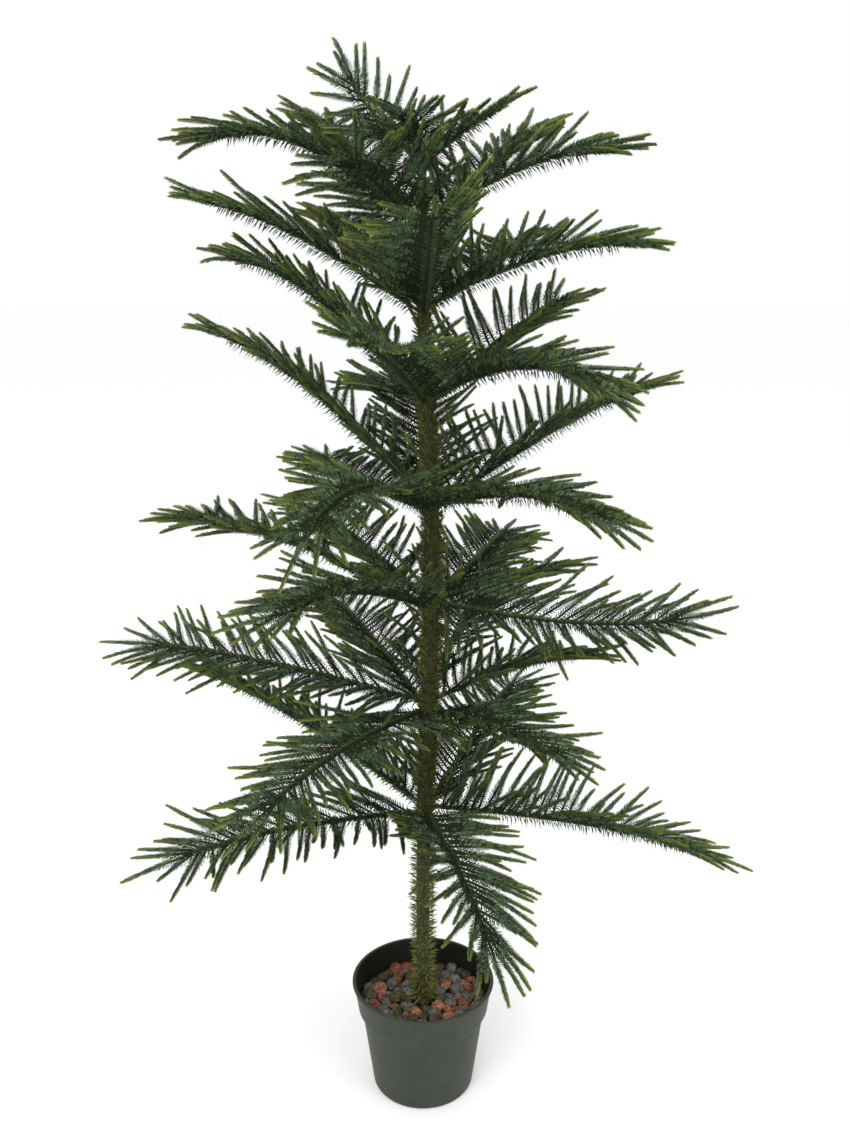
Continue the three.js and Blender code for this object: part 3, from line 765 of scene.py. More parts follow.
def new_piece(name, vertices, faces, materials, picks=None):
    """A smooth mesh piece from rows of places and rows of vertex numbers, all of one length."""
    mesh = bpy.data.meshes.new(name)
    count, sides = faces.shape
    mesh.vertices.add(len(vertices))
    mesh.vertices.foreach_set("co", np.ascontiguousarray(vertices, np.float32).ravel())
    mesh.loops.add(count * sides)
    mesh.loops.foreach_set("vertex_index", np.ascontiguousarray(faces, np.int32).ravel())
    mesh.polygons.add(count)
    mesh.polygons.foreach_set("loop_start", np.arange(0, count * sides, sides, dtype=np.int32))
    for material in materials:
        mesh.materials.append(material)
    if picks is not None:
        mesh.polygons.foreach_set("material_index", np.ascontiguousarray(picks, np.int32))
    mesh.update(calc_edges=True)
    if mesh.validate():
        raise RuntimeError(name + " has faces that don't fit together")
    mesh.shade_smooth()
    piece = bpy.data.objects.new(name, mesh)
    bpy.context.scene.collection.objects.link(piece)
    return piece


def weld(piece):
    """Joins vertices that share a place and drops faces with no size."""
    work = bmesh.new()
    work.from_mesh(piece.data)
    bmesh.ops.remove_doubles(work, verts=work.verts, dist=WELD_DISTANCE)
    bmesh.ops.dissolve_degenerate(work, edges=work.edges, dist=WELD_DISTANCE)
    bmesh.ops.recalc_face_normals(work, faces=work.faces)
    work.to_mesh(piece.data)
    work.free()


def grid_faces(rows, columns):
    """Faces of a grid of vertices that closes on itself along its columns."""
    row, column = np.meshgrid(np.arange(rows - 1), np.arange(columns), indexing="ij")
    after = (column + 1) % columns
    first = row * columns
    next_first = first + columns
    faces = np.stack([first + column, first + after, next_first + after, next_first + column], axis=-1)
    return faces.reshape(-1, 4)


def joined(parts):
    """Vertices and faces of several meshes put together."""
    starts = np.cumsum([0] + [len(vertices) for vertices, _ in parts[:-1]])
    vertices = np.concatenate([part[0] for part in parts])
    faces = np.concatenate([part[1] + start for part, start in zip(parts, starts)])
    return vertices, faces


def tube(points, ways, upright, radii):
    """A tube with one radius for each point and each angle round it."""
    sides = radii.shape[1]
    first, second = across(ways, upright)
    angles = np.arange(sides) * 2 * math.pi / sides
    rim = np.cos(angles)[:, None] * first[:, None] + np.sin(angles)[:, None] * second[:, None]
    vertices = points[:, None] + radii[..., None] * rim
    return vertices.reshape(-1, 3), grid_faces(len(points), sides)


def turned(profile, segments):
    """A profile of radii and heights turned round the upright axis."""
    profile = np.array(profile)
    angles = np.arange(segments) * 2 * math.pi / segments
    rim = np.stack([np.cos(angles), np.sin(angles), np.zeros(segments)], axis=1)
    vertices = profile[:, None, :1] * rim + profile[:, None, 1:] * UP
    return vertices.reshape(-1, 3), grid_faces(len(profile), segments)


# A needle's broadest place as a part of its length, how deep it is folded, and its faces
NEEDLE_BROADEST = 0.4
NEEDLE_FOLD = 0.5
NEEDLE_FACES = 2


def needle_blades(roots, ways, radial, lengths, widths, turns):
    """Slender needles of two faces, folded along their middle and broadest before it. A needle with
    no turn lies flat round its stem, and one with a quarter turn stands on edge along it."""
    flat = unit(np.cross(ways, radial))
    inward = np.cross(ways, flat)
    turns = np.broadcast_to(turns, lengths.shape)[:, None]
    sides = flat * np.cos(turns) + inward * np.sin(turns)
    folds = inward * np.cos(turns) - flat * np.sin(turns)
    half = widths[:, None] / 2
    tips = roots + ways * lengths[:, None]
    middle = mix(roots, tips, NEEDLE_BROADEST) + folds * half * NEEDLE_FOLD
    corners = np.stack([roots, middle + sides * half, tips, middle - sides * half], axis=1)
    faces = np.arange(len(roots))[:, None, None] * 4 + np.array(((0, 1, 2), (0, 2, 3)))
    return corners.reshape(-1, 3), faces.reshape(-1, 3)


# Places in the frame
def level_label(level):
    """A level's name in the frame: a whorl's number, or tip for the crown."""
    return str(level + 1) if level < len(WHORLS) else "tip"


def level_nodes(level, *kinds):
    """The frame's solids of some kinds at a level."""
    starts = tuple(kind + "_" + level_label(level) for kind in kinds)
    return [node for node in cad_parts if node.startswith(starts)]


def place(piece, slot, *nodes):
    """Puts a piece on the tree's body, in place of solids of the frame. The slot is not used."""
    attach(piece, BODY)
    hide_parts(*nodes)


# Finishes
PLASTIC_ROUGHNESS = 0.6
PLASTIC_SHINE = 0.1
DULL_ROUGHNESS = 0.7
FLOOR_ROUGHNESS = 0.9

# Patches of a mottled finish: how rough their edges are and where the two colours start
PATCH_ROUGHNESS = 0.6
DARK_AT = 0.35
LIGHT_AT = 0.65
ROUGHNESS_SPREAD = 0.08
BUMP_STRENGTH = 0.5


class Grain(NamedTuple):
    """How a mottled finish varies: its patches in a metre, its roughness, the height of its bump in
    metres, how finely its patches divide and its shine."""

    scale: float
    roughness: float
    bump: float
    detail: float = 6
    shine: float = PLASTIC_SHINE


POT_GRAIN = Grain(38, 0.5, 0.0002, detail=3, shine=0.15)
GRIT_GRAIN = Grain(420, 0.9, 0.001)
STONE_GRAIN = Grain(260, 0.75, 0.0006)
TRUNK_GRAIN = Grain(190, 0.8, 0.0008)
LIMB_GRAIN = Grain(240, 0.85, 0.0005)


def plain_finish(name, colour, roughness=PLASTIC_ROUGHNESS, shine=PLASTIC_SHINE):
    """A plain moulded plastic in one colour."""
    material = bpy.data.materials.new(name)
    material.use_nodes = True
    shader = material.node_tree.nodes["Principled BSDF"]
    shader.inputs["Base Color"].default_value = (*colour, 1)
    shader.inputs["Roughness"].default_value = roughness
    shader.inputs["Specular IOR Level"].default_value = shine
    return material


def darker(colour, part):
    """A colour with a part of its brightness."""
    return [part * value for value in colour]


def mottled_finish(name, light, dark, grain):
    """Two colours in soft patches, with a bump and a roughness that follow them."""
    material = plain_finish(name, light, grain.roughness, grain.shine)
    nodes = material.node_tree.nodes
    links = material.node_tree.links
    shader = nodes["Principled BSDF"]
    place_node = nodes.new("ShaderNodeTexCoord")
    noise = nodes.new("ShaderNodeTexNoise")
    noise.inputs["Scale"].default_value = grain.scale
    noise.inputs["Detail"].default_value = grain.detail
    noise.inputs["Roughness"].default_value = PATCH_ROUGHNESS
    links.new(place_node.outputs["Object"], noise.inputs["Vector"])
    ramp = nodes.new("ShaderNodeValToRGB")
    ramp.color_ramp.elements[0].position = DARK_AT
    ramp.color_ramp.elements[0].color = (*dark, 1)
    ramp.color_ramp.elements[1].position = LIGHT_AT
    ramp.color_ramp.elements[1].color = (*light, 1)
    links.new(noise.outputs["Fac"], ramp.inputs["Fac"])
    links.new(ramp.outputs["Color"], shader.inputs["Base Color"])
    rough = nodes.new("ShaderNodeMapRange")
    rough.inputs["To Min"].default_value = grain.roughness - ROUGHNESS_SPREAD
    rough.inputs["To Max"].default_value = grain.roughness + ROUGHNESS_SPREAD
    links.new(noise.outputs["Fac"], rough.inputs["Value"])
    links.new(rough.outputs["Result"], shader.inputs["Roughness"])
    relief = nodes.new("ShaderNodeBump")
    relief.inputs["Strength"].default_value = BUMP_STRENGTH
    relief.inputs["Distance"].default_value = grain.bump
    links.new(noise.outputs["Fac"], relief.inputs["Height"])
    links.new(relief.outputs["Normal"], shader.inputs["Normal"])
    return material


# Pot

# Steps of a rounded edge, how often its curve fits into the sides next to it, and the part of the
# lip's height that slopes
ROUND_STEPS = 4
ROUND_EDGES = 2.2
LIP_SLOPE = 0.25


def rounded(corners, radius):
    """An outline whose corners are rounded by short curves, each shorter than half of its edges."""
    corners = np.array(corners, float)
    outline = [corners[0]]
    for before, corner, after in zip(corners[:-2], corners[1:-1], corners[2:]):
        back, on = before - corner, after - corner
        reach = min(radius, np.linalg.norm(back) / ROUND_EDGES, np.linalg.norm(on) / ROUND_EDGES)
        curve = np.array((corner + unit(back) * reach, corner, corner + unit(on) * reach))
        outline.extend(curve_points(curve[None], np.linspace(0, 1, ROUND_STEPS + 1)))
    outline.append(corners[-1])
    return outline


def pot_outline(pot):
    """The pot's section from the middle of its underside over the lip to the middle of its floor."""
    under_lip = pot.height - pot.lip_height
    outer = [
        (0, 0),
        (pot.foot_radius, 0),
        (pot.body_foot_radius, pot.foot_round),
        (pot.body_top_radius, pot.body_top),
        (pot.collar_radius, pot.collar_bottom),
        (pot.collar_top_radius, under_lip),
        (pot.lip_radius, under_lip + pot.lip_height * LIP_SLOPE),
        (pot.lip_radius, pot.height),
    ]
    inner = [
        (pot.collar_top_radius - pot.wall, pot.height),
        (pot.collar_radius - pot.wall, pot.collar_bottom),
        (pot.body_top_radius - pot.wall, pot.body_top),
        (pot.body_foot_radius - pot.wall, pot.wall),
        (0, pot.wall),
    ]
    return rounded([*outer, *inner], pot.edge)


class NORFOLK_OT_pot(Operator):
    """Turns the nursery pot with its collar, lip and rounded edges"""

    bl_idname = "norfolk.pot"
    bl_label = "Nursery pot"

    DARK_PART = 0.82

    def execute(self, context):
        pot = context.scene.norfolk_pine.pot
        vertices, faces = turned(pot_outline(pot), pot.segments)
        finishes = [
            mottled_finish(name, colour, darker(colour, self.DARK_PART), POT_GRAIN)
            for name, colour in (("pot_plastic", pot.colour), ("pot_inside", pot.inside))
        ]
        # Faces of the inner wall take the inside colour, which is painted shade.
        middles = vertices[faces].mean(axis=1)
        out = np.linalg.norm(middles[:, :2], axis=1)
        wall = np.interp(middles[:, 2], *self.wall_middle(pot))
        picks = (out < wall) & (middles[:, 2] > pot.wall / 2)
        piece = new_piece("nursery_pot", vertices, faces, finishes, picks)
        weld(piece)
        place(piece, "pot", "pot")
        return {"FINISHED"}

    def wall_middle(self, pot):
        """Heights and radii of the middle of the pot's wall, from the foot to the lip."""
        heights = (0, pot.body_top, pot.collar_bottom, pot.height)
        radii = (pot.body_foot_radius, pot.body_top_radius, pot.collar_radius, pot.collar_top_radius)
        return heights, [radius - pot.wall / 2 for radius in radii]


# Gravel

# Draws for the directions of a stone's cuts, their depths, its two widths and its turn
HEIGHT_DRAW = 0.3
TURN_DRAW = 0.7
DEPTH_DRAW = 50
WIDTH_DRAWS = (71, 72)
SPIN_DRAW = 73

# Where the deepest cuts are as a part of a stone's radius, how much farther out others are, the least
# that a cut faces a direction, and how far a stone's widths differ
LEAST_DEPTH = 0.62
DEPTH_RANGE = 0.30
LEAST_FACING = 0.05
WIDTH_SPREAD = 0.16

# How stones are moved apart: rounds, the part of an overlap that goes in each, and how much of its
# radius a stone keeps off the trunk
PUSH_ROUNDS = 60
PUSH_PART = 0.35
TRUNK_PART = 0.8


def ball(subdivisions):
    """Directions and faces of an even ball of triangles."""
    work = bmesh.new()
    bmesh.ops.create_icosphere(work, subdivisions=subdivisions, radius=1)
    ways = np.array([vertex.co for vertex in work.verts])
    faces = np.array([[vertex.index for vertex in face.verts] for face in work.faces])
    work.free()
    return ways, faces


def seeded_ways(seed, count):
    """Directions that depend only on the seed."""
    index = np.arange(count)
    height = spread(seed, index + HEIGHT_DRAW, 1)
    turn = 2 * math.pi * chance(seed, index + TURN_DRAW)
    flat = np.sqrt(1 - height**2)
    return np.stack([flat * np.cos(turn), flat * np.sin(turn), height], axis=1)


def stone(seed, ways, cuts, flat):
    """A broken stone about 1 in radius: a ball cut back by flat faces, then flattened."""
    normals = seeded_ways(seed, cuts)
    depths = LEAST_DEPTH + DEPTH_RANGE * chance(seed, np.arange(cuts) + DEPTH_DRAW)
    facing = np.maximum(ways @ normals.T, LEAST_FACING)
    reach = np.minimum(1, np.min(depths / facing, axis=1))
    widths = [1 + spread(seed, draw, WIDTH_SPREAD) for draw in WIDTH_DRAWS]
    scale = np.array((*widths, flat))
    turn = 2 * math.pi * chance(seed, SPIN_DRAW)
    spin = np.array(((math.cos(turn), -math.sin(turn), 0), (math.sin(turn), math.cos(turn), 0), (0, 0, 1)))
    return (ways * reach[:, None] * scale) @ spin.T


def spread_out(centres, radii, inner, outer):
    """Moves discs on a ring apart until they hardly overlap."""
    for _ in range(PUSH_ROUNDS):
        between = centres[:, None] - centres[None]
        distance = np.linalg.norm(between, axis=2) + np.eye(len(centres))
        push = np.maximum(0, radii[:, None] + radii[None] - distance) * (1 - np.eye(len(centres)))
        centres = centres + PUSH_PART * np.sum(between / distance[..., None] * push[..., None], axis=1)
        out = np.linalg.norm(centres, axis=1)
        kept = np.clip(out, inner + radii * TRUNK_PART, outer - radii)
        centres = centres * (kept / out)[:, None]
    return centres


class NORFOLK_OT_gravel(Operator):
    """Fills the pot with a bed of grit and broken stones in several colours"""

    bl_idname = "norfolk.gravel"
    bl_label = "Gravel"

    # The bed of grit, nearly black as painted shade in the gaps
    BED_RINGS = 40
    BED_SEGMENTS = 96
    BED_DROP = 0.001
    RIPPLE = 0.0008
    RIPPLES = 900
    BED_DARK = 0.5

    # The stones, with the part of them that has each colour
    SHARES = {"grey": 0.28, "slate": 0.16, "olive": 0.24, "sand": 0.05, "brick": 0.16, "rust": 0.11}
    STONE_DARK = 0.22
    RADIUS_SEED = 3
    HEIGHT_SEED = 5
    COLOUR_SEED = 9
    SMALL_POWER = 1.3
    LOWEST = -0.002
    HIGHEST = 0.003
    BALL_DIVISIONS = 3
    SHARP_ANGLE = math.radians(28)

    def execute(self, context):
        pine = context.scene.norfolk_pine
        gravel, pot, trunk = pine.gravel, pine.pot, pine.trunk
        share = (gravel.level - pot.collar_bottom) / (pot.height - pot.lip_height - pot.collar_bottom)
        outer = mix(pot.collar_radius, pot.collar_top_radius, share) - pot.wall
        inner = trunk.foot_radius + trunk.flare
        self.make_bed(gravel, pot, outer)
        self.make_stones(gravel, inner, outer)
        return {"FINISHED"}

    def make_bed(self, gravel, pot, outer):
        """The grit under the stones, a disc with a rough top, nearly black as painted shade in the gaps
        between the stones.
        """
        rings = np.linspace(0, outer, self.BED_RINGS)
        rough = self.RIPPLE * np.sin(rings * self.RIPPLES) * (rings > 0)
        profile = [(radius, gravel.level - self.BED_DROP + rise) for radius, rise in zip(rings, rough)]
        foot = (pot.body_top_radius - pot.wall, pot.body_top)
        vertices, faces = turned([*profile, foot], self.BED_SEGMENTS)
        # Its near-black colour is painted shade in the gaps between the stones.
        finish = mottled_finish("grit", gravel.bed, darker(gravel.bed, self.BED_DARK), GRIT_GRAIN)
        piece = new_piece("gravel_bed", vertices, faces, [finish])
        weld(piece)
        place(piece, "gravel", "gravel")

    def make_stones(self, gravel, inner, outer):
        """The stones, joined in one piece, each in one of the colours."""
        shares = np.cumsum(list(self.SHARES.values()))
        finishes = []
        for name in self.SHARES:
            light = getattr(gravel, name)
            dark = darker(light, self.STONE_DARK)
            finishes.append(mottled_finish("stone_" + name, light, dark, STONE_GRAIN))
        index = np.arange(gravel.stones)
        sizes = chance(self.RADIUS_SEED, index) ** self.SMALL_POWER
        radii = mix(gravel.least_radius, gravel.most_radius, sizes)
        out = np.sqrt(mix(inner**2, outer**2, (index + 0.5) / gravel.stones))
        turn = index * GOLDEN_ANGLE
        centres = np.stack([out * np.cos(turn), out * np.sin(turn)], axis=1)
        centres = spread_out(centres, radii, inner, outer)
        ways, faces = ball(self.BALL_DIVISIONS)
        parts = []
        for i in index:
            height = gravel.level + mix(self.LOWEST, self.HIGHEST, chance(self.HEIGHT_SEED, i))
            middle = np.array((*centres[i], height))
            parts.append((middle + radii[i] * stone(i + 1, ways, gravel.cuts, gravel.flat), faces))
        picks = np.searchsorted(shares, chance(self.COLOUR_SEED, index) * shares[-1])
        vertices, faces_all = joined(parts)
        piece = new_piece("gravel_stones", vertices, faces_all, finishes, np.repeat(picks, len(faces)))
        piece.data.set_sharp_from_angle(angle=self.SHARP_ANGLE)
        place(piece, "gravel", "gravel")


# Trunk

# Heights under and over the top of the bare stretch between which its needles lie down
FADE_UNDER = 0.03
FADE_OVER = 0.01


def cushions(turns, lengths, left_rows, right_rows, pitch):
    """Leaf cushions as a height from 0 to 1: two sets of spirals that cross."""
    left = np.sin(left_rows * turns + 2 * math.pi * lengths / pitch)
    right = np.sin(right_rows * turns - 2 * math.pi * lengths / pitch)
    return np.sqrt(np.abs(left * right))


def needles_stand(heights, trunk):
    """How far the trunk's needles stand out, from 0 to 1, at several heights."""
    upper = smoothstep(trunk.bare_top - FADE_UNDER, trunk.bare_top + FADE_OVER, heights)
    return mix(1, trunk.upper_stand, upper)


def bark_radius(heights, trunk, level):
    """The radius of the trunk's bark under its needles at several heights."""
    core = mix(trunk.core, trunk.bare_core, needles_stand(heights, trunk))
    return trunk_radius(heights, trunk, level) * core


class NORFOLK_OT_trunk(Operator):
    """Builds the trunk's bark with its cushions, and the needles that stand on it"""

    bl_idname = "norfolk.trunk"
    bl_label = "Trunk"

    # The bark: spirals of cushions each way round, and roughness and middle of the relief as parts of it
    SPIRALS = (5, 8)
    CUSHION_PITCH = 0.011
    ROUGH_PART = 0.4
    RELIEF_MIDDLE = 0.6
    MILLIMETRES = 1000

    # The needles: bare ends of the trunk, and how far neighbours differ
    FOOT_ROOM = 0.002
    TOP_ROOM = 0.004
    LEAST_IN_RING = 6
    ORDER_SEED = 0.37
    TURN_SPREAD = 0.06
    HEIGHT_SPREAD = 0.0008
    LEAN_SPREAD = 0.42
    LENGTH_SPREAD = 0.2
    SWAY = 0.25
    ROOT_DEPTH = 0.0006

    # Parts of the flat needles and of the standing ones that have two of the colours
    # These are painted light and shade: more light olive and straw low on the bare stretch, more dark moss
    # higher up under the limbs.
    OLIVE_PARTS_SHADED_TO_LIT = (0.1, 0.6)
    STRAW_PARTS_SHADED_TO_LIT = (0, 0.3)

    def execute(self, context):
        pine = context.scene.norfolk_pine
        self.make_bark(pine)
        self.make_needles(pine)
        return {"FINISHED"}

    def make_bark(self, pine):
        """The bark, a bent and tapered pole with relief, closed at both ends."""
        trunk = pine.trunk
        heights = np.linspace(trunk.foot, trunk.top, round((trunk.top - trunk.foot) / trunk.step) + 1)
        turns = np.arange(trunk.sides) * 2 * math.pi / trunk.sides
        radii = bark_radius(heights, trunk, pine.gravel.level)[:, None]
        relief = cushions(turns[None], heights[:, None], *self.SPIRALS, self.CUSHION_PITCH)
        relief = relief + self.ROUGH_PART * chance(heights[:, None] * self.MILLIMETRES, turns[None])
        radii = radii + trunk.relief * (relief - self.RELIEF_MIDDLE)
        radii = np.concatenate([np.zeros_like(radii[:1]), radii, np.zeros_like(radii[:1])])
        heights = np.concatenate([heights[:1], heights, heights[-1:]])
        ways = np.tile(UP, (len(heights), 1))
        vertices, faces = tube(trunk_centre(heights), ways, BACK, radii)
        finish = mottled_finish("trunk_bark", trunk.bark, trunk.bark_dark, TRUNK_GRAIN)
        piece = new_piece("trunk_bark", vertices, faces, [finish])
        weld(piece)
        place(piece, "trunk", "trunk")

    def make_needles(self, pine):
        """Needles that stand out from the trunk, most on its bare stretch."""
        trunk = pine.trunk
        foot = pine.gravel.level + self.FOOT_ROOM
        rings = np.arange(foot, trunk.top - self.TOP_ROOM, trunk.ring_pitch)
        radius = bark_radius(rings, trunk, pine.gravel.level)
        counts = np.round(2 * math.pi * radius / trunk.row_pitch)
        counts = np.maximum(self.LEAST_IN_RING, counts).astype(int)
        ring = np.repeat(np.arange(len(rings)), counts)
        order = np.concatenate([np.arange(count) for count in counts])
        seeds = ring + self.ORDER_SEED * order
        turn = (order + 0.5 * (ring % 2)) * 2 * math.pi / counts[ring]
        turn = turn + spread(seeds, 1, self.TURN_SPREAD)
        heights = rings[ring] + spread(seeds, 2, self.HEIGHT_SPREAD)
        standing = needles_stand(heights, trunk)
        lean = mix(trunk.flat_lean, trunk.stand_lean, standing) + spread(seeds, 3, self.LEAN_SPREAD)
        lengths = mix(trunk.flat_length, trunk.stand_length, standing)
        lengths = lengths * (1 + spread(seeds, 4, self.LENGTH_SPREAD))
        radial = np.stack([np.cos(turn), np.sin(turn), np.zeros_like(turn)], axis=1)
        sides = np.stack([-np.sin(turn), np.cos(turn), np.zeros_like(turn)], axis=1)
        ways = radial * np.sin(lean)[:, None] + UP * np.cos(lean)[:, None]
        ways = unit(ways + sides * spread(seeds, 5, self.SWAY)[:, None])
        roots = trunk_centre(heights) + radial * (radius[ring] - self.ROOT_DEPTH)[:, None]
        widths = mix(trunk.flat_width, trunk.stand_width, standing)
        turns = mix(trunk.flat_turn, trunk.stand_turn, standing)
        vertices, faces = needle_blades(roots, ways, radial, lengths, widths, turns)
        colours = ("olive", "moss", "straw")
        finishes = [plain_finish("trunk_needle_" + name, getattr(trunk, name)) for name in colours]
        olive, moss, straw = range(len(colours))
        # Painted light and shade: standing needles low down are more often olive and straw, flat ones
        # higher up under the limbs more often dark moss.
        picks = np.where(chance(seeds, 6) < mix(*self.OLIVE_PARTS_SHADED_TO_LIT, standing), olive, moss)
        picks = np.where(chance(seeds, 7) < mix(*self.STRAW_PARTS_SHADED_TO_LIT, standing), straw, picks)
        piece = new_piece("trunk_needles", vertices, faces, finishes, np.repeat(picks, NEEDLE_FACES))
        place(piece, "trunk", "trunk")


# Limbs
class NORFOLK_OT_limbs(Operator):
    """Builds the limbs' bark with its relief, the needles on them and the hairs underneath"""

    bl_idname = "norfolk.limbs"
    bl_label = "Limbs"

    # The bark: spirals of cushions each way round, the middle of their relief and the narrowed end
    SPIRALS = (2, 3)
    CUSHION_PITCH = 0.008
    RELIEF_MIDDLE = 0.5
    LEAST_RINGS = 4
    END_PART = 0.3

    # Numbers of the needles' finishes
    HAIR, BLUE, LEAF = range(3)

    # The needles: how far neighbours differ, their roots' place in the bark and the part that is blue
    RING_SEED = 1.3
    ROW_SEED = 0.17
    TURN_SPREAD = 0.15
    PLACE_SPREAD = 0.2
    LEAN_SPREAD = 0.24
    LENGTH_SPREAD = 0.22
    ROOT_PART = 0.7
    BLUE_PART = 0.6

    def execute(self, context):
        pine = context.scene.norfolk_pine
        limb = pine.limb
        bark_finish = mottled_finish("limb_bark", limb.bark, limb.bark_dark, LIMB_GRAIN)
        finishes = [
            plain_finish("limb_hair", limb.hair, DULL_ROUGHNESS),
            plain_finish("limb_needle_blue", pine.needle.blue),
            plain_finish("limb_needle_leaf", pine.needle.leaf),
        ]
        limbs = all_limbs(pine)
        for level in range(len(WHORLS) + 1):
            members = [member for member in limbs if member.level == level]
            label = level_label(level)
            nodes = level_nodes(level, "bough", "foliage")
            vertices, faces = joined([self.bark(member, limb) for member in members])
            piece = new_piece("limb_bark_" + label, vertices, faces, [bark_finish])
            place(piece, "bough", *nodes)
            vertices, faces, picks = self.needles(members, pine)
            piece = new_piece("limb_needles_" + label, vertices, faces, finishes, picks)
            place(piece, "bough", *nodes)
        return {"FINISHED"}

    def bark(self, member, limb):
        """The bark of one limb, narrowed at its end."""
        length = member.length() * limb.rib_end
        shares = np.linspace(0, limb.rib_end, max(self.LEAST_RINGS, round(length / limb.step)))
        along, _, up = member.frames(shares)
        turns = np.arange(limb.sides) * 2 * math.pi / limb.sides
        relief = cushions(turns[None], shares[:, None] * length, *self.SPIRALS, self.CUSHION_PITCH)
        radii = limb_radius(limb, shares)[:, None] * limb.core + limb.relief * (relief - self.RELIEF_MIDDLE)
        radii[-1] *= self.END_PART
        return tube(member.points(shares), along, up, radii)

    def needles(self, members, pine):
        """Green needles on top of the limbs, and dark hairs that hang underneath."""
        limb, trunk = pine.limb, pine.trunk
        parts = []
        picks = []
        for member in members:
            length = member.length()
            start = 0 if member.in_crown else trunk.foot_radius / member.shape.reach
            shares = np.arange(start, limb.rib_end, limb.ring_pitch / length)
            ring = np.repeat(np.arange(len(shares)), limb.rows)
            row = np.tile(np.arange(limb.rows), len(shares))
            seeds = member.seed + ring * self.RING_SEED + row * self.ROW_SEED
            hangs = row == 0
            odd = ring % 2 - 0.5
            cover = limb.cover * ((row - 0.5 + 0.5 * odd) / (limb.rows - 1) * 2 - 1)
            turn = np.where(hangs, math.pi + limb.hair_sway * odd, cover)
            turn = turn + spread(seeds, 1, self.TURN_SPREAD)
            share = shares[ring] + spread(seeds, 2, self.PLACE_SPREAD) * limb.ring_pitch / length
            along, aside, up = member.frames(share)
            radial = up * np.cos(turn)[:, None] + aside * np.sin(turn)[:, None]
            lean = np.where(hangs, limb.hair_lean, limb.needle_lean)
            lean = lean + spread(seeds, 3, self.LEAN_SPREAD)
            size = np.where(hangs, limb.hair_length, limb.needle_length)
            size = size * (1 + spread(seeds, 4, self.LENGTH_SPREAD))
            widths = np.where(hangs, limb.hair_width, limb.needle_width)
            ways = along * np.cos(lean)[:, None] + radial * np.sin(lean)[:, None]
            turns = np.where(hangs, limb.hair_turn, limb.needle_turn)
            depth = limb_radius(limb, share)[:, None] * limb.core * self.ROOT_PART
            roots = member.points(share) + radial * depth
            parts.append(needle_blades(roots, ways, radial, size, widths, turns))
            greens = np.where(chance(seeds, 5) < self.BLUE_PART, self.BLUE, self.LEAF)
            picks.append(np.where(hangs, self.HAIR, greens))
        return *joined(parts), np.repeat(np.concatenate(picks), NEEDLE_FACES)


# Twigs and needles
# The shade finish is painted shade, at twigs' roots and on single darker needles; pale is a painted
# highlight.
NEEDLE_COLOURS = ("shade", "blue", "leaf", "fresh", "brown", "pale")
SHADE, BLUE, LEAF, FRESH, BROWN, PAINTED_HIGHLIGHT = range(len(NEEDLE_COLOURS))

# Nearly upright, so that no twig lies along it
NEAR_UP = UP + 0.01


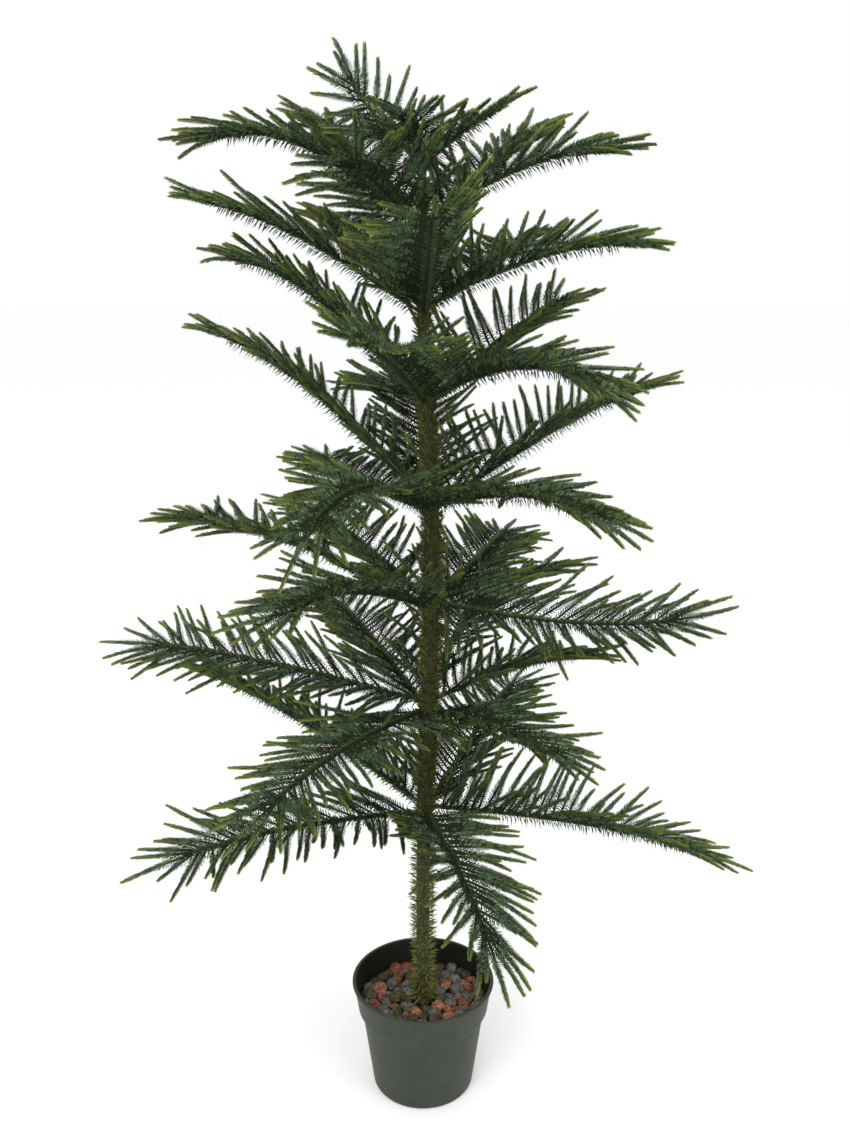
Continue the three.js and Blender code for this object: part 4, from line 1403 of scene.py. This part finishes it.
class NORFOLK_OT_twigs(Operator):
    """Grows the twigs' stems and the needles on them, level by level"""

    bl_idname = "norfolk.twigs"
    bl_label = "Twigs and needles"

    # The stems: places along them, how far they have tapered there, and where they turn green from the dark
    # painted shade at the root
    STEM_SIDES = 5
    STEM_MARKS = np.array((0.0, 0.35, 0.7, 0.96, 1.0))
    STEM_TAPER = np.array((0.0, 0.35, 0.7, 1.0, 1.0))
    GREEN_FROM = 0.35

    # The needles: how far neighbours differ, how the rows twist and where the needles' roots are
    ORDER_SEED = 0.013
    TURN_SPREAD = 0.14
    TWIST = 0.6
    ROOT_PART = 0.6

    # Where along a twig its needles change from inner to outer ones, and where they close in at its tip
    OUTER_ZONE = (0.2, 0.75)
    CLOSING_ZONE = (0.82, 1.0)
    CLOSED_LEAN = 0.5
    CLOSED_LENGTH = 0.8

    # Where between shade and tip a spray turns warm, and how much brown tips keep to the top
    WARM_PART = 0.8
    BROWN_POWER = 3

    def execute(self, context):
        pine = context.scene.norfolk_pine
        needle = pine.needle
        stem_finishes = [
            plain_finish("twig_stem", pine.twig.stem, DULL_ROUGHNESS),
            plain_finish("twig_stem_green", pine.twig.green_stem, DULL_ROUGHNESS),
        ]
        finishes = [plain_finish("needle_" + name, getattr(needle, name)) for name in NEEDLE_COLOURS]
        for level, twigs in enumerate(grow_twigs(pine, all_limbs(pine))):
            label = level_label(level)
            nodes = level_nodes(level, "foliage")
            vertices, faces, picks = self.stems(twigs, pine.twig)
            piece = new_piece("twig_stems_" + label, vertices, faces, stem_finishes, picks)
            place(piece, "foliage", *nodes)
            vertices, faces, picks = self.needles(twigs, pine, level / len(WHORLS))
            piece = new_piece("needles_" + label, vertices, faces, finishes, picks)
            place(piece, "foliage", *nodes)
        return {"FINISHED"}

    def stems(self, twigs, twig):
        """The stems of all twigs of a level, each a slim tube that ends in a point, with their finishes."""
        count = len(twigs.curves)
        marks = np.tile(self.STEM_MARKS, (count, 1))
        points = curve_points(twigs.curves[:, None], marks)
        ways = curve_ways(twigs.curves[:, None], marks)
        radii = mix(twig.stem_radius, twig.stem_tip_radius, self.STEM_TAPER) * (self.STEM_MARKS < 1)
        rims = np.repeat(radii[:, None], self.STEM_SIDES, axis=1)
        parts = [tube(points[i], ways[i], NEAR_UP, rims) for i in range(count)]
        # Before its green part a stem is painted shade.
        picks = np.repeat(self.STEM_MARKS[:-1] >= self.GREEN_FROM, self.STEM_SIDES)
        return *joined(parts), np.tile(picks, count)

    def needles(self, twigs, pine, high):
        """The needles of all twigs of a level, a part of the tree's height up, with their finishes."""
        needle, twig = pine.needle, pine.twig
        counts = np.maximum(needle.rows, np.round(twigs.lengths * needle.density)).astype(int)
        owner = np.repeat(np.arange(len(counts)), counts)
        order = np.concatenate([np.arange(count) for count in counts])
        row = order % needle.rows
        seeds = twigs.seeds[owner] + order * self.ORDER_SEED
        half_row = needle.rows * 0.5
        share = (order + half_row * (row % 2) + 0.5) / (counts[owner] + half_row)
        share = np.minimum(1, share) ** needle.crowding
        curves = twigs.curves[owner]
        points = curve_points(curves, share)
        ways = curve_ways(curves, share)
        first, second = across(ways, NEAR_UP)
        turn = row * 2 * math.pi / needle.rows + self.TWIST * share + spread(seeds, 1, self.TURN_SPREAD)
        radial = first * np.cos(turn)[:, None] + second * np.sin(turn)[:, None]
        outer = smoothstep(*self.OUTER_ZONE, share)
        closing = smoothstep(*self.CLOSING_ZONE, share)
        lean = mix(needle.near_lean, needle.far_lean, outer) * mix(1, self.CLOSED_LEAN, closing)
        lean = lean + spread(seeds, 2, needle.lean_spread)
        lengths = mix(needle.near_length, needle.far_length, outer) * mix(1, self.CLOSED_LENGTH, closing)
        lengths = lengths * (1 + spread(seeds, 3, needle.length_spread))
        heading = ways * np.cos(lean)[:, None] + radial * np.sin(lean)[:, None]
        stem = mix(twig.stem_radius, twig.stem_tip_radius, share)[:, None] * self.ROOT_PART
        widths = mix(needle.near_width, needle.far_width, outer)
        turns = mix(needle.near_turn, needle.far_turn, outer)
        roots = points + radial * stem
        vertices, faces = needle_blades(roots, heading, radial, lengths, widths, turns)
        zones = share + spread(seeds, 4, needle.zone_blur)
        picks = self.colours(twigs, owner, zones, needle, high)
        # Single needles of a spray's body are dealt painted shade or a painted highlight at random.
        deal = chance(seeds, 5)
        body = (picks == BLUE) | (picks == LEAF)
        picks = np.where(body & (deal < needle.painted_shade_share), SHADE, picks)
        picks = np.where(body & (deal > 1 - needle.painted_highlight_share), PAINTED_HIGHLIGHT, picks)
        return vertices, faces, np.repeat(picks, NEEDLE_FACES)

    def colours(self, twigs, owner, share, needle, high):
        """The finish of each needle: painted shade near the root, the spray's green, then the tip's colour.
        Sprays are warmer far out on a limb, and tips are brown more often near the tree's top."""
        distance = np.linalg.norm(twigs.curves[:, 0, :2], axis=1)
        outer = smoothstep(needle.inner_reach, needle.outer_reach, distance)
        shade_end = needle.shade_end + spread(twigs.seeds, 11, needle.zone_spread)
        body_end = mix(needle.body_end, needle.outer_body_end, outer)
        body_end = body_end + spread(twigs.seeds, 12, needle.zone_spread)
        blue_share = mix(needle.blue_share, needle.outer_blue_share, outer)
        body = np.where(chance(twigs.seeds, 13) < blue_share, BLUE, LEAF)
        brown_share = needle.brown_share * high**self.BROWN_POWER
        tip = np.where(chance(twigs.seeds, 14) < brown_share, BROWN, FRESH)
        warm_from = mix(shade_end, body_end, self.WARM_PART)
        # Needles before the shade end take the painted shade.
        picks = np.where(share < shade_end[owner], SHADE, body[owner])
        picks = np.where(share > warm_from[owner], LEAF, picks)
        return np.where(share > body_end[owner], tip[owner], picks)


# Stage
class NORFOLK_OT_stage(Operator):
    """Sets the pale floor, the soft lights and the camera"""

    bl_idname = "norfolk.stage"
    bl_label = "Stage"

    KEY_SPOT = (-0.9, -2.2, 2.6)
    KEY_SIZE = 1.8
    FILL_SPOT = (1.8, -1.4, 1.7)
    FILL_SIZE = 1.6

    def execute(self, context):
        scene = context.scene
        stage = scene.norfolk_pine.stage
        self.make_floor(stage)
        self.make_light("key_light", stage.key_power, self.KEY_SPOT, self.KEY_SIZE)
        self.make_light("fill_light", stage.fill_power, self.FILL_SPOT, self.FILL_SIZE)
        self.make_sky(scene, stage)
        self.make_camera(scene, stage)
        return {"FINISHED"}

    def make_floor(self, stage):
        """A plain pale floor under the pot."""
        half = stage.floor_size / 2
        corners = np.array(((-half, -half, 0), (half, -half, 0), (half, half, 0), (-half, half, 0)))
        finish = plain_finish("floor", stage.floor, FLOOR_ROUGHNESS)
        new_piece("floor", corners, np.array(((0, 1, 2, 3),)), [finish])

    def make_light(self, name, power, spot, size):
        """A soft square light that faces the middle of the tree."""
        data = bpy.data.lights.new(name, "AREA")
        data.energy = power
        data.size = size
        light = bpy.data.objects.new(name, data)
        light.location = spot
        aim = np.array((0, 0, CAD_BOX[1][2] / 2)) - np.array(spot)
        tip = math.atan2(math.hypot(aim[0], aim[1]), -aim[2])
        light.rotation_euler = (tip, 0, math.atan2(-aim[0], aim[1]))
        bpy.context.scene.collection.objects.link(light)

    def make_sky(self, scene, stage):
        """Even white light from all sides, shown as it is."""
        world = bpy.data.worlds.new("studio")
        world.use_nodes = True
        sky = world.node_tree.nodes["Background"]
        sky.inputs["Color"].default_value = (*stage.sky, 1)
        sky.inputs["Strength"].default_value = stage.sky_strength
        scene.world = world
        scene.view_settings.view_transform = "Standard"

    def make_camera(self, scene, stage):
        """The camera at the photograph's place."""
        data = bpy.data.cameras.new("camera")
        data.lens = stage.lens
        camera = bpy.data.objects.new("camera", data)
        camera.location = (stage.camera_aside, -stage.camera_distance, stage.camera_height)
        camera.rotation_euler = (math.pi / 2 - stage.camera_pitch, 0, 0)
        scene.collection.objects.link(camera)
        scene.camera = camera


class NORFOLK_PT_panel(Panel):
    """Lists the pieces of the tree and their settings"""

    bl_idname = "NORFOLK_PT_panel"
    bl_label = "Norfolk pine"
    bl_space_type = "VIEW_3D"
    bl_region_type = "UI"
    bl_category = "Norfolk pine"

    def draw(self, context):
        pine = context.scene.norfolk_pine
        for operator in OPERATORS:
            self.layout.operator(operator.bl_idname)
        for group in (pine.pot, pine.gravel, pine.trunk, pine.limb, pine.twig, pine.needle, pine.stage):
            box = self.layout.box()
            for name in group.__annotations__:
                box.prop(group, name)


SETTINGS = (
    PotSettings,
    GravelSettings,
    TrunkSettings,
    LimbSettings,
    TwigSettings,
    NeedleSettings,
    StageSettings,
    PineSettings,
)
OPERATORS = (
    NORFOLK_OT_stage,
    NORFOLK_OT_pot,
    NORFOLK_OT_gravel,
    NORFOLK_OT_trunk,
    NORFOLK_OT_limbs,
    NORFOLK_OT_twigs,
)


def register():
    """Adds the settings, the operators and the panel."""
    for kind in (*SETTINGS, *OPERATORS, NORFOLK_PT_panel):
        bpy.utils.register_class(kind)
    bpy.types.Scene.norfolk_pine = PointerProperty(type=PineSettings)


def unregister():
    """Takes them away again."""
    del bpy.types.Scene.norfolk_pine
    for kind in reversed((*SETTINGS, *OPERATORS, NORFOLK_PT_panel)):
        bpy.utils.unregister_class(kind)


def main():
    """Builds every piece."""
    register()
    bpy.ops.norfolk.stage()
    bpy.ops.norfolk.pot()
    bpy.ops.norfolk.gravel()
    bpy.ops.norfolk.trunk()
    bpy.ops.norfolk.limbs()
    bpy.ops.norfolk.twigs()


if __name__ == "__main__":
    main()
